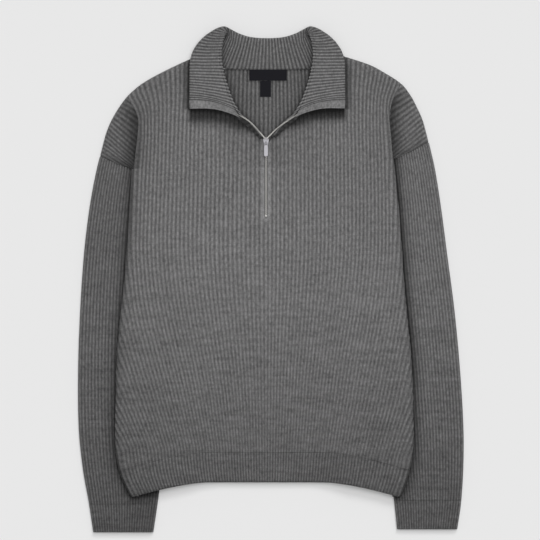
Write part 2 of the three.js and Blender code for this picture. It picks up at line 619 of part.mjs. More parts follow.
function collar() {
  const { keys, curves } = collarGrid();
  const count = keys.length - 1;
  const at = (k, q) => curves[k].getPoint(clamp01(q));
  // Ribs are spaced evenly along the middle of the turned-out part.
  const fine = steps(0, 1, 400);
  const lengths = [0];
  for (let i = 1; i < fine.length; i += 1) {
    lengths.push(lengths[i - 1] + at(5, fine[i]).distanceTo(at(5, fine[i - 1])));
  }
  const ribs = Math.round(lengths.at(-1) / COLLAR_PITCH);
  const placeOf = (share) => {
    const wanted = share * lengths.at(-1);
    let i = 0;
    while (i < fine.length - 2 && lengths[i + 1] < wanted) i += 1;
    const t = clamp01((wanted - lengths[i]) / (lengths[i + 1] - lengths[i]));
    return lerp(fine[i], fine[i + 1], t);
  };
  const normalAt = (k, q) => {
    const step = 0.004;
    const alongQ = at(k, q + step).sub(at(k, q - step));
    const alongK = at(Math.min(k + 1, curves.length - 1), q).sub(at(Math.max(k - 1, 0), q));
    return alongQ.cross(alongK).normalize();
  };
  const plain = PLAIN_SECTIONS / count;
  const grid = (shares, heightOf) => curves.map((_, k) => shares.map((share, i) => {
    const q = placeOf(share);
    return at(k, q).addScaledVector(normalAt(k, q), heightOf(q, i));
  }));
  const outer = grid(steps(0, 1, 2 * ribs), (q, i) =>
    -0.9 * (q < plain || q > 1 - plain ? 0.3 : 1 - i % 2));
  const inner = grid(steps(0, 1, Math.round(ribs / 2)), () => -COLLAR_WALL - 0.9);
  return wallGeometry(outer, inner);
}

// The open half of the chain, along the collar's zip edge.
function openChain(sign) {
  const points = CHAIN_PATH.map(([out, y, z]) => new THREE.Vector3(COLLAR_X + sign * out, y, z));
  const corners = [[-1, -1], [1, -1], [1, 1], [-1, 1]];
  const shape = new THREE.Shape(corners.map(([x, y]) => new THREE.Vector2(x, y)));
  return new THREE.ExtrudeGeometry(shape, {
    steps: 24, bevelEnabled: false, extrudePath: new THREE.CatmullRomCurve3(points, false, "centripetal"),
  });
}

function slider() {
  const top = SLIDER_Z[1];
  const base = boxAt([ZIP_X - SLIDER_HALF, ZIP_X + SLIDER_HALF], SLIDER_Y, SLIDER_Z);
  const bail = boxAt([ZIP_X - 1, ZIP_X + 1], [HINGE_Y - 4, HINGE_Y + 3.6], [top - 0.2, top + 3.6]);
  const window = boxAt([ZIP_X - 3, ZIP_X + 3], [HINGE_Y - 2.8, HINGE_Y + 2.4], [top, top + 2.6]);
  return fromSolid(toSolid(base).add(toSolid(bail).subtract(toSolid(window))));
}

// The pull tab's end bar lies inside the slider's bail, which passes through the tab's eye.
function pullTab() {
  const z = SLIDER_Z[1] + HINGE_UP;
  const plate = boxAt([ZIP_X - PULL_HALF, ZIP_X + PULL_HALF],
    [HINGE_Y + 0.9 - PULL_LENGTH, HINGE_Y + 0.9], [z - PULL_THICK / 2, z + PULL_THICK / 2]);
  const eye = boxAt([ZIP_X - 1.5, ZIP_X + 1.5], [HINGE_Y - 5.4, HINGE_Y - 0.9], [z - 3, z + 3]);
  return fromSolid(toSolid(plate).subtract(toSolid(eye)));
}

const sweater = new THREE.Group();
sweater.add(
  node("front_panel", frontPanel(), KNIT),
  node("back_panel", backPanel(), KNIT),
  node("front_hem_band", hemBand(true), KNIT),
  node("back_hem_band", hemBand(false), KNIT),
  node("left_sleeve", sleeve(SIDES.left), KNIT),
  node("right_sleeve", sleeve(SIDES.right), KNIT),
  node("left_cuff", cuff(SIDES.left), KNIT),
  node("right_cuff", cuff(SIDES.right), KNIT),
  node("collar", collar(), KNIT),
  node("left_open_chain", openChain(-1), METAL),
  node("right_open_chain", openChain(1), METAL),
  node("slider", slider(), METAL),
  node("pull_tab", pullTab(), METAL),
  node("zip_tape", boxAt([ZIP_X - TAPE_HALF, ZIP_X + TAPE_HALF],
    [SLIT_BOTTOM_Y - 8, 209], TAPE_Z), TAPE),
  node("closed_chain", boxAt([ZIP_X - CHAIN_HALF, ZIP_X + CHAIN_HALF], [98, 199.5],
    [TAPE_Z[1] + 0.1, CHAIN_TOP]), METAL),
  node("bottom_stop", boxAt([ZIP_X - 1.6, ZIP_X + 1.6], [95, 97.7],
    [TAPE_Z[1] + 0.1, CHAIN_TOP + 0.4]), METAL),
  node("neck_label", boxAt([COLLAR_X - LABEL.half, COLLAR_X + LABEL.half],
    LABEL.y, LABEL.z), LABEL_CLOTH),
  node("size_tab", boxAt([COLLAR_X - SIZE_TAB.half, COLLAR_X + SIZE_TAB.half],
    SIZE_TAB.y, SIZE_TAB.z), LABEL_CLOTH),
);

export default sweater;
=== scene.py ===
# %% [markdown]
# # A rib-knit sweater with a quarter zip, laid flat
#
# The sweater lies on its back on a pale surface and is seen from straight above. Its sleeves
# are drawn down along its sides, partly under the body, and its collar is turned out. The
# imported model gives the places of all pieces, and each cloth piece is made again here with
# rounded ribs and a knit surface.

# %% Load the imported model
import math

import bmesh
import bpy
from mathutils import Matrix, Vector, noise


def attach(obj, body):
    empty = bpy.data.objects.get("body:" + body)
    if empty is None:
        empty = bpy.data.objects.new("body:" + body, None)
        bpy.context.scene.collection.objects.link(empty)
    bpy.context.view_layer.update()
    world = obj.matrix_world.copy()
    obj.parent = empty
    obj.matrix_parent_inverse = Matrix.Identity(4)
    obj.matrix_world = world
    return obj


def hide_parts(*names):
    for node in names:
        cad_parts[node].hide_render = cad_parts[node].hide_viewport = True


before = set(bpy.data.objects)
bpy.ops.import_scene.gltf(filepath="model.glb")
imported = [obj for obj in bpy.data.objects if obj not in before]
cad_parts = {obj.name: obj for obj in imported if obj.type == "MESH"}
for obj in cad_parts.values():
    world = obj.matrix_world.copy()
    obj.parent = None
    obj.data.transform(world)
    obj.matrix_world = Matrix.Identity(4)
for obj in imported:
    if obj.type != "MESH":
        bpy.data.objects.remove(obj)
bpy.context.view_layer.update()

MM = 0.001

# %% [markdown]
# ## Camera and light
#
# A garment is photographed flat from high above, so a long lens about 4.5 m up gives nearly
# parallel lines. A broad light from the collar's side falls on everything. The backdrop has
# its own lamp, as in a studio, so it stays evenly pale, and a soft pool above the chest falls
# on the garment alone, which leaves its sleeves and hem darker. Light linking keeps these two
# apart.

# %% Camera and light
scene = bpy.context.scene
scene.view_settings.view_transform = "Standard"

camera_data = bpy.data.cameras.new("Camera")
camera_data.lens = 200
camera_data.sensor_width = 36
camera_data.clip_end = 50
camera = bpy.data.objects.new("Camera", camera_data)
camera.location = (-0.0015, 0.015, 4.512)
scene.collection.objects.link(camera)
scene.camera = camera

on_garment = bpy.data.collections.new("Lit with the garment")
on_floor = bpy.data.collections.new("Lit with the floor")


def lamp(kind, name, place, source, strength, only=None, **settings):
    """A lamp at a place, whose light comes from the direction `source`."""
    data = bpy.data.lights.new(name, kind)
    data.energy = strength
    for key, value in settings.items():
        setattr(data, key, value)
    made = bpy.data.objects.new(name, data)
    made.location = place
    made.rotation_euler = Vector(source).to_track_quat("Z", "Y").to_euler()
    scene.collection.objects.link(made)
    if only:
        made.light_linking.receiver_collection = only


lamp("SUN", "Key", (0, 0, 3), (0.25, 0.85, 0.80), 0.85, angle=math.radians(22))
lamp("SUN", "Backdrop", (0, 0, 3), (0.05, 0.16, 1.0), 1.68, only=on_floor, angle=math.radians(45))
lamp("SPOT", "Chest", (0.03, 0.15, 0.95), (0.02, 0.10, 1.0), 17.5, only=on_garment,
     spot_size=math.radians(66), spot_blend=1.0, shadow_soft_size=0.14)
world = bpy.data.worlds.new("World")
world.use_nodes = True
sky = world.node_tree.nodes["Background"]
sky.inputs["Color"].default_value = (1, 1, 1, 1)
sky.inputs["Strength"].default_value = 0.25
scene.world = world
print("camera at", tuple(camera.location))

# %% [markdown]
# ## A way to write shader maths
#
# Node trees for cloth hold a lot of arithmetic. A small class lets sockets be added and
# multiplied like numbers, so that each pattern below reads as its formula.

# %% Shader maths


class Socket:
    """An output socket that takes part in arithmetic."""

    def __init__(self, look, output):
        self.look = look
        self.output = output

    def math(self, operation, *others):
        made = self.look.tree.nodes.new("ShaderNodeMath")
        made.operation = operation
        for slot, value in zip(made.inputs, (self, *others)):
            self.look.feed(slot, value)
        return Socket(self.look, made.outputs[0])

    def __add__(self, other):
        return self.math("ADD", other)

    def __sub__(self, other):
        return self.math("SUBTRACT", other)

    def __rsub__(self, other):
        return self * -1 + other

    def __mul__(self, other):
        return self.math("MULTIPLY", other)

    def wave(self):
        """1 where the value is whole, 0 half way between."""
        return (self * (2 * math.pi)).math("COSINE") * 0.5 + 0.5

    def limit(self, low, high):
        return self.math("MAXIMUM", low).math("MINIMUM", high)

    __radd__ = __add__
    __rmul__ = __mul__


class Look:
    """One material and its nodes."""

    def __init__(self, name):
        self.material = bpy.data.materials.new(name)
        self.material.use_nodes = True
        self.tree = self.material.node_tree
        self.tree.nodes.clear()

    def feed(self, slot, value):
        if isinstance(value, Socket):
            self.tree.links.new(value.output, slot)
        else:
            slot.default_value = value

    def node(self, kind, inputs=None, output=0, **settings):
        made = self.tree.nodes.new(kind)
        for key, value in settings.items():
            setattr(made, key, value)
        for key, value in (inputs or {}).items():
            self.feed(made.inputs[key], value)
        return Socket(self, made.outputs[output])

    def surface(self, **inputs):
        """A Principled shader; an input's spaces are written as underscores."""
        named = {key.replace("_", " "): value for key, value in inputs.items()}
        shader = self.node("ShaderNodeBsdfPrincipled", named)
        self.feed(self.tree.nodes.new("ShaderNodeOutputMaterial").inputs["Surface"], shader)
        return self.material

    def grey(self, value, tint=(1.0, 1.0, 1.0)):
        """A colour from one value, with a tint."""
        parts = {axis: value * part for axis, part in zip(("Red", "Green", "Blue"), tint)}
        return self.node("ShaderNodeCombineColor", parts)

    def axes(self, place):
        """The x, y and z of a vector socket."""
        split = self.node("ShaderNodeSeparateXYZ", {"Vector": place})
        return [Socket(self, output) for output in split.output.node.outputs]

    def object_place(self):
        return self.node("ShaderNodeTexCoord", output="Object")

    def attribute(self, name):
        return self.node("ShaderNodeAttribute", output="Fac", attribute_name=name)

    def noise(self, scale, detail=2.0, stretch=(1, 1, 1), roughness=0.5):
        """Noise of about `scale` waves a metre, in the object's own coordinates."""
        place = self.node("ShaderNodeMapping", {"Vector": self.object_place(), "Scale": stretch})
        return self.node("ShaderNodeTexNoise", {
            "Vector": place, "Scale": scale, "Detail": detail, "Roughness": roughness})

    def bump(self, height, distance):
        return self.node("ShaderNodeBump", {"Height": height, "Distance": distance})


# %% [markdown]
# ## The knit
# The yarn is a melange: pale and dark fibres spun together, so the colour is broken up by
# flecks smaller than a stitch, and by streaks along the courses, which are stronger low down
# on the body. In every rib the stitches are V-shaped, and the colour is painted darker in the
# grooves, as painted shade between the ribs. The UV map counts ribs across and stitches along.
# Two attributes on the mesh say how strong the painted groove shade is and how much painted
# shade darkens the colour in folds, creases and beside other pieces. The collar's copy of the
# knit is painted paler than the body's, as painted light.

# %% Knit material
GROOVE_SHADE, ARM_SHADE = 0.46, 0.10
ARM_SLANT = 1.3  # the slope of a V's arm, in stitches for a rib's width
STREAKS, LOW_STREAKS = 0.34, 0.5
LOW_FROM, LOW_RATE = 0.14, 4  # the stronger streaks start at this y and grow so much a metre


def knit(name, shade):
    look = Look(name)
    across, along, _ = look.axes(look.node("ShaderNodeUVMap", uv_map="Cloth"))
    ribbed = look.attribute("ribbed")
    painted_shade = look.attribute("painted_shade")
    wander = look.noise(60, 1, (1, 0.35, 1)) - 0.5
    crest = (across + wander * 0.16 * ribbed).wave()
    side = ((across + 0.5).math("FRACT") - 0.5).math("ABSOLUTE")
    arms = (along + side * ARM_SLANT).wave()
    fibre = look.noise(1500, 3, (1, 0.6, 1), 0.7) - 0.5
    fleck = look.noise(360, 2, (1, 0.62, 1), 0.65) - 0.5
    streak = look.noise(190, 2, (0.11, 1.0, 1), 0.65) - 0.5
    cloud = look.noise(11, 2) - 0.5
    low = ((LOW_FROM - look.axes(look.object_place())[1]) * LOW_RATE).limit(0, 1)
    streaks = streak * (STREAKS + low * LOW_STREAKS)
    patchy = 1 + fleck * 1.5 + fibre * 0.4 + streaks + cloud * 0.16
    # Painted shade: the grooves and the second attribute darken the base colour.
    groove = ribbed * (1 - crest) * (0.8 + look.noise(45, 2) * 0.4)
    value = (1 - groove * GROOVE_SHADE) * patchy * (1 - arms * ARM_SHADE) * (1 - painted_shade) * shade
    height = arms * 0.5 + fibre * 0.9 + fleck * 0.5
    colour = look.grey(value.limit(0.01, 0.9), (1.005, 0.995, 1.0))
    return look.surface(
        Base_Color=colour, Roughness=0.93, Specular_IOR_Level=0.18,
        Sheen_Weight=0.18, Sheen_Roughness=0.5, Normal=look.bump(height, 0.0007))


KNIT = knit("Grey melange knit", 0.253)
# A paler copy of the knit for the collar: painted light on the collar.
COLLAR_KNIT_PAINTED_LIGHTER = knit("Grey melange collar", 0.293)
print("knit nodes:", len(KNIT.node_tree.nodes))

# %% [markdown]
# ## The cut of the sweater
#
# These tables come from the solid model, in millimetres, with a few rows moved a little to the
# outline in the photograph. `out` is measured from the zip, to the left or the right, because
# the sweater doesn't lie quite symmetrically. Each rib has a number, counted from the zip to
# the side seam.

# %% Tables
WALL, RIB, INNER = 3.0, 1.35, 0.2  # the cloth, a rib's height and where the inner face lies
GAP = 0.4
ZIP_X = -7.5
SLEEVE_TOP = 7.6
LIFT, BACK_WALL, FOLD_LAYER, LAYER_AIR, PUFF = 8.2, 3.0, 2.6, 0.6, 2.4  # layers, from below
CAP_Z = BACK_WALL + LAYER_AIR
REST_LIFT = LIFT + GAP - CAP_Z
RIBS_PER_HALF = 48
STITCH = 3.1
SEAM_Y, HEM_Y = -259.5, -303.8  # the hem band's seam and edge, in the middle
HEM_DIP, HEM_FLAT, HEM_RUN, DIP_ENDS_Y = 22.5, 90, 112, -60  # how the hem bends at its sides
UNDERARM_MIDDLE_Y = 170
LOWER_LENGTH, UPPER_LENGTH = 430, 165  # along a rib, below and above the underarms' height
EDGE_ROUND, SHOULDER_ROUND = 8, 7
LIFT_FROM, LIFT_FULL = 60, 138  # the sleeves below lift the body from here to here
PLACKET, PLACKET_END_Y, SLIT_BOTTOM_Y = 7.5, 86, 94.5  # the plain strip and the zip's opening


class Table:
    """Rows of numbers with named columns, read as smooth curves by the first column."""

    def __init__(self, names, rows):
        self.names = names.split()
        self.rows = rows

    def at(self, name, value):
        rows, c = self.rows, self.names.index(name)
        last = len(rows) - 1
        i = 0
        while i < last - 1 and value > rows[i + 1][0]:
            i += 1

        def slope(k):
            a, b = rows[max(0, k - 1)], rows[min(last, k + 1)]
            return (b[c] - a[c]) / (b[0] - a[0])

        width = rows[i + 1][0] - rows[i][0]
        t = clamp((value - rows[i][0]) / width)
        p, q, m, n = rows[i][c], rows[i + 1][c], slope(i) * width, slope(i + 1) * width
        return ((2 * t**3 - 3 * t**2 + 1) * p + (t**3 - 2 * t**2 + t) * m
                + (3 * t**2 - 2 * t**3) * q + (t**3 - t**2) * n)


def clamp(t):
    return min(1.0, max(0.0, t))


def mix(a, b, t):
    return a + (b - a) * t


def ease(start, end, value):
    t = clamp((value - start) / (end - start))
    return t * t * (3 - 2 * t)


def bell(distance, width):
    """1 at a line, falling off on both sides of it."""
    return math.exp(-(distance / width) ** 2)


BODY = Table("y left right left_rib right_rib", [
    (-326, 203.0, 202.0, 4.12, 4.2), (-294, 218.3, 213.6, 4.36, 4.35),
    (-261, 226.0, 221.0, 4.63, 4.6), (-225, 228.2, 222.6, 4.93, 4.83),
    (-186, 227.4, 222.0, 5.25, 5.07), (-112, 224.8, 218.6, 5.75, 5.37),
    (-50, 219.6, 212.3, 6.1, 5.6), (0, 213.8, 207.8, 6.27, 5.72),
    (48, 210.0, 204.6, 6.35, 5.8), (111, 205.6, 199.6, 6.3, 5.82),
    (182, 201.0, 192.0, 6.2, 5.8),
])
LEFT_TOP = Table("rib out y", [
    (0, 2.2, 212), (1.7, 10.5, 221), (3.1, 19.5, 231), (4.6, 28.5, 239.5), (6.05, 37.5, 247),
    (7.3, 45, 257), (8.3, 51, 270), (9.3, 57, 286), (10.1, 61.5, 307), (11.2, 72, 316),
    (12.6, 84, 324), (14, 88.5, 343), (18.8, 117, 331), (24, 156, 312.5), (28, 187.5, 294.5),
    (31.5, 208.5, 276), (35, 222, 258), (38.2, 232.5, 240), (41.4, 240, 222),
    (44.6, 245, 204), (48, 250, 184.5),
])
RIGHT_TOP = Table("rib out y", [
    (0, 2.2, 212), (2.3, 14, 221), (3.9, 23, 231), (5.5, 32.5, 239.5), (7.1, 41.5, 247),
    (8.4, 49, 257), (9.4, 55, 270), (10.4, 61, 286), (11.2, 65.5, 307), (12.4, 76, 316),
    (13.9, 88, 324), (15.4, 92, 343), (20.4, 120, 335.5), (25.4, 156, 323.6),
    (29, 178, 312), (33.5, 203.4, 295.2), (36.6, 217.6, 277.2), (39.6, 227.2, 259.2),
    (42.6, 235.3, 241), (45.4, 240.4, 223), (48, 244.9, 205.6),
])
BACK_NECK = [
    (0, 1.5, 317.6), (0.3, 26, 317.6), (0.5, 43, 317.8), (0.66, 56, 317), (0.77, 66, 317.6),
    (0.88, 80, 321), (0.95, 86.5, 330),
]
LEFT_CREASE = Table("up out", [(0, 197.5), (0.25, 194.5), (0.5, 192), (0.75, 193), (1, 208.5)])
RIGHT_CREASE = Table("up out", [(0, 188), (0.25, 185.5), (0.5, 184), (0.75, 187), (1, 202.5)])
SLEEVE = Table("y left left_inner right right_inner", [  # the inner edge lies under the body
    (-380, 259.5, 169.5, 286.5, 197.5), (-336, 266.0, 163.0, 293.0, 193.0),
    (-285, 275.0, 157.0, 296.4, 186.0), (-225, 281.2, 156.0, 296.8, 181.0),
    (-138, 282.3, 157.0, 291.8, 174.0), (-48, 279.3, 157.0, 283.5, 166.0),
    (42, 273.2, 155.0, 271.8, 160.0), (114, 264.3, 153.0, 262.3, 158.0),
    (168, 254.0, 150.0, 253.6, 155.0), (206, 244.0, 148.0, 244.9, 153.0),
])


class Side:
    """The left or right half of the sweater, as it is seen.

    The crease goes up from the underarm to the top of `crease_rib`. The cap's ribs up to
    `seam_rib` leave it one after another, and `droop` sets how soon. `head` is the height of
    the sleeve's inner end, under the body. `crowd` is below 0, as the ribs are closer together
    towards the side.
    """

    def __init__(self, name, sign, top, crease, crease_rib, underarm_y, cuff_seam, cuff_end, head,
                 crowd, droop, seam_rib):
        self.name, self.sign, self.top, self.crease = name, sign, top, crease
        self.crease_rib, self.underarm_y = crease_rib, underarm_y
        self.cuff_seam, self.cuff_end, self.head = cuff_seam, cuff_end, head
        self.crowd, self.droop, self.seam_rib = crowd, droop, seam_rib
        shoulder = [row for row in top.rows if row[2] > 330 or row[1] > 100]
        neck = [(share * shoulder[0][0], out, y) for share, out, y in BACK_NECK]
        self.back_top = Table("rib out y", neck + shoulder)


LEFT = Side("left", -1, LEFT_TOP, LEFT_CREASE, crease_rib=31.5, underarm_y=166, cuff_seam=-337.5,
            cuff_end=-379, head=148, crowd=-0.07, droop=1.5, seam_rib=45.4)
RIGHT = Side("right", 1, RIGHT_TOP, RIGHT_CREASE, crease_rib=33.5, underarm_y=181,
             cuff_seam=-331.5, cuff_end=-374.5, head=156, crowd=-0.05, droop=1.35, seam_rib=45.8)


def side_of(column):
    return LEFT if column < 0 else RIGHT


print("hem:", round(BODY.at("left", HEM_Y) + BODY.at("right", HEM_Y)), "mm wide,",
      2 * RIBS_PER_HALF, "ribs")

# %% [markdown]
# ## Where shade is painted into the cloth
#
# Shade is painted into the knit's colour in folds and beside whatever stands above the cloth,
# on top of the renderer's own shadows. Each vertex holds this painted shade, from 0 in the
# open to 1 where it is darkest. It depends on the distance to the lapels, to the collar, to
# the body's edge and to the creases.

# %% Painted shade
COLLAR_X = -5.6
CREASE_SHADE_REACH = 40
CREASE_SHADE = Table("away left right", [
    (0, 0.70, 0.68), (3, 0.70, 0.74), (6, 0.66, 0.69), (9, 0.60, 0.59), (12, 0.50, 0.47),
    (15, 0.41, 0.37), (18, 0.32, 0.27), (22, 0.2, 0.15), (27, 0.08, 0.06), (32, 0.03, 0.01),
    (CREASE_SHADE_REACH, 0, 0),
])
LAPEL_SHADE = Table("drop left right", [
    (0, 0.95, 0.98), (2.7, 0.92, 0.965), (5, 0.88, 0.93), (7.2, 0.84, 0.89),
    (10.8, 0.81, 0.82), (13.5, 0.80, 0.70), (16.2, 0.69, 0.52), (19, 0.56, 0.32),
    (22.5, 0.35, 0.12), (26, 0.17, 0.03), (31, 0, 0),
])
LAPEL = Table("out y", [
    (0, 208), (6, 215.4), (11, 221.2), (18.5, 229.8), (26, 237), (33.5, 241.8), (41, 245),
    (50, 249), (60.5, 252.6), (74, 255.3), (89, 256.8), (104, 257.4), (118, 257.8),
])
LAPEL_TIP_OUT, LAPEL_END_OUT, LAPEL_TOP_Y = 117, 124, 262  # the lapels' shade goes as far
COLLAR_SIDE_FROM, COLLAR_SIDE_TO, COLLAR_SIDE_REACH = 256, 350, 8.6
COLLAR_SIDE = Table("y out", [
    (258, 116), (288, 116.8), (312, 116.4), (324, 115), (337, 111.5), (349, 105),
])
ROLL_TOP_Y = 371
ROLL = Table("y out", [
    (213.8, 4.7), (236, 23), (248, 37), (265, 48.5), (279.5, 54.5), (299, 61), (315, 65.2),
    (330, 67.6), (343, 68), (353.5, 66.6), (362, 64.5), (ROLL_TOP_Y, 59.5),
])


def beside(distance, reach, strength):
    """Painted shade beside an edge: most at the edge, and hardly any past three reaches."""
    return strength * math.exp(-max(0.0, distance) / reach)


def together(*losses):
    """All painted shade at one place, each loss of light taken from what the others leave."""
    left = 1.0
    for loss in losses:
        left *= 1 - clamp(loss)
    return 1 - left


def under_lapel(point):
    """Painted shade on the body below the lapels' lower edges, narrower near the zip."""
    out = abs(point.x - COLLAR_X)
    if out > LAPEL_END_OUT or point.y > LAPEL_TOP_Y:
        return 0.0
    drop = max(0.0, LAPEL.at("y", min(out, LAPEL_TIP_OUT)) - point.y)
    drop /= mix(0.22, 1, ease(0, 50, out))
    side = "left" if point.x < COLLAR_X else "right"
    return LAPEL_SHADE.at(side, drop) * (1 - ease(LAPEL_TIP_OUT - 3, LAPEL_TIP_OUT + 5, out))


def beside_collar(point):
    """Painted shade on the shoulders, beside the collar's outer edge."""
    if not COLLAR_SIDE_FROM < point.y < COLLAR_SIDE_TO:
        return 0.0
    gap = abs(point.x - COLLAR_X) - COLLAR_SIDE.at("out", point.y)
    return (0.74 if point.x < COLLAR_X else 0.68) * bell(gap, COLLAR_SIDE_REACH)


def past_edge(side, point):
    """How far a place is outside the body's folded edge."""
    return abs(point.x - ZIP_X) - BODY.at(side.name, min(point.y, UNDERARM_MIDDLE_Y))


def beside_body(side, point):
    """Painted shade on the body itself, next to its own folded edge."""
    inside = -past_edge(side, point)
    fades = (1 - ease(150, 185, point.y)) * mix(0.3, 1, ease(-150, 60, point.y))
    return fades * (beside(inside, 7, 0.5) if side is LEFT else beside(inside, 2, 0.2))


def beside_sleeve(side, point):
    """Painted shade on a sleeve next to the body that lies on it; the left sleeve is painted
    darker.
    """
    gap = max(0.0, past_edge(side, point))
    near = ease(-340, -318, point.y)
    if side is LEFT:
        return together(0.62 * near * math.exp(-(gap / 7.5) ** 1.2),
                        0.04 + 0.10 * ease(-150, 60, point.y), beside(gap, 30, 0.12))
    strength = mix(0.7, 0.88, ease(-220, -60, point.y))
    return together(strength * near * math.exp(-(gap / 8) ** 1.3), 0.025)


print("light left 5 mm inside the left edge:", round(1 - beside(5, 7, 0.5), 2))

# %% [markdown]
# ## The body as a sheet that follows its ribs
#
# `lower_body` gives a place below the underarms. Ribs that don't fit between the body's
# edges are folded under at the side, and come out again towards the narrow hem. `upper_panel`
# goes from the underarms to the shoulder. Ribs past the crease belong to the shoulder's cap,
# so `shoulder_cap` fans them out from under the fold.

# %% Body functions


class Spot:
    """A place on the inner side of the front or back, with the way that its outside faces."""

    def __init__(self, side, out, y, z, under, back, folded=False, tilt_out=0.0, tilt=(0.0, 0.0),
                 painted_shade=0.0, height=1.0):
        tilt_x, tilt_y = tilt
        up = math.sqrt(max(0.0, 1 - tilt_out**2 - tilt_x**2 - tilt_y**2))
        self.point = Vector((ZIP_X + side.sign * out, y, z))
        self.normal = Vector((side.sign * (tilt_out + tilt_x), tilt_y, up)).normalized()
        self.under, self.back, self.folded = under, back, folded
        self.painted_shade, self.height = painted_shade, height

    def off(self, distance):
        return self.point + self.normal * distance


def puff_at(out, y):
    """How much the air inside lifts the front along its middle."""
    return PUFF * (1 - ease(40, 150, out)) * (1 - ease(230, 300, y))


def lift_at(out):
    """How far the sleeves below lift the body, from 0 to 1."""
    return ease(LIFT_FROM, LIFT_FULL, out)


def lower_body(side, rib, row):
    """A rib between the hem and the underarms, which turns under past the body's edge."""
    side_row = mix(0, side.underarm_y - UNDERARM_MIDDLE_Y, ease(DIP_ENDS_Y, UNDERARM_MIDDLE_Y, row))
    drop = BACK_WALL + FOLD_LAYER + LAYER_AIR - GAP
    turn_length = math.sqrt((EDGE_ROUND**2 + drop**2) / 2)
    y = row
    for _ in range(4):
        edge = BODY.at(side.name, y) - WALL - RIB
        flat = edge - EDGE_ROUND
        reach = flat + turn_length * math.pi / 2
        pitch = max(BODY.at(side.name + "_rib", y), reach / RIBS_PER_HALF)
        gather = mix(side.crowd, 0.12, ease(60, -210, y))
        arc = rib * pitch * (1 - gather + gather * (rib * pitch / reach) ** 2)
        turn = clamp((arc - flat) / (reach - flat)) * math.pi / 2
        out = flat + EDGE_ROUND * math.sin(turn) if turn > 0 else arc
        dip = HEM_DIP * max(0.0, (out - HEM_FLAT) / HEM_RUN) ** 1.5
        y = row - dip * ease(DIP_ENDS_Y, SEAM_Y, row) + side_row * (out / edge) ** 2
    lift = lift_at(out)
    back = (LIFT + FOLD_LAYER) * lift + BACK_WALL
    flat_z = back + LAYER_AIR + puff_at(out, y)
    slant = drop * math.sin(turn) / math.hypot(drop * math.sin(turn), EDGE_ROUND * math.cos(turn))
    # The cloth is painted darker where the edge turns down, as painted shade.
    return Spot(side, out, y, flat_z - drop * (1 - math.cos(turn)), LIFT * lift, back,
                folded=turn >= math.pi / 2, tilt_out=slant if turn > 0 else 0.0,
                painted_shade=0.3 * math.sin(turn) ** 6)


def top_of(top_table, rib):
    """Where a rib ends, at the neck or the shoulder."""
    return top_table.at("out", rib), top_table.at("y", rib)


def crease_at(side, top_table, level):
    """A place on the crease between the body and the shoulder's cap."""
    top_y = top_of(top_table, side.crease_rib)[1]
    return side.crease.at("out", level), mix(side.underarm_y, top_y, level)


def shoulder_cap(side, rib, up, top_table):
    """A rib past the crease, which stays under the fold until `up` reaches `leaves`."""
    past = (rib - side.crease_rib) / (side.seam_rib - side.crease_rib)
    leaves = max(0.0, 1 - past) ** side.droop
    along = 0.85 * max(0.0, (rib - side.seam_rib) / (RIBS_PER_HALF - side.seam_rib))
    start = crease_at(side, top_table, min(leaves, up))
    top, corner = top_of(top_table, rib), top_of(top_table, RIBS_PER_HALF)
    start_out, start_y = mix(start[0], corner[0], along), mix(start[1], corner[1], along)
    run_out, run_y = top[0] - start_out, top[1] - start_y
    length = math.hypot(run_out, run_y)
    inset = (WALL + GAP) / length
    t = 0.0 if up <= leaves else (up - leaves) / (1 - leaves) * (1 - inset)
    out, y = mix(start_out, top[0], t), mix(start_y, top[1], t)
    rest = (1 - inset - t) * length
    sine = 0.0 if up <= leaves else max(0.0, 1 - rest / SHOULDER_ROUND)
    hold = REST_LIFT * (1 - ease(0, 0.16, min(up, leaves)))
    hold *= (1 - ease(0, 0.22, t)) * (1 - ease(0, 0.4, along))
    base_out, base_y = crease_at(side, top_table, 0)
    level = clamp((y - side.underarm_y) / (crease_at(side, top_table, 1)[1] - side.underarm_y))
    away = clamp((out - side.crease.at("out", level)) / CREASE_SHADE_REACH) * CREASE_SHADE_REACH
    shade = CREASE_SHADE.at(side.name, away) * (1 - ease(0.72, 0.98, level))
    seam_way = Vector((corner[0] - base_out, corner[1] - base_y))
    above = seam_way.x * (y - base_y) - seam_way.y * (out - base_out)
    seam = bell(above / seam_way.length, 2.2)
    lean = 0.97 * sine / length
    # Painted shade beside the crease, and the left cap painted a little darker all over.
    return Spot(side, out, y, CAP_Z + hold - 0.2 * sine, 0.0, CAP_Z + hold - LAYER_AIR,
                folded=up <= leaves, tilt=(lean * run_out, lean * run_y),
                painted_shade=together(shade, 0.06 if side is LEFT else 0.0), height=1 - 0.25 * seam)


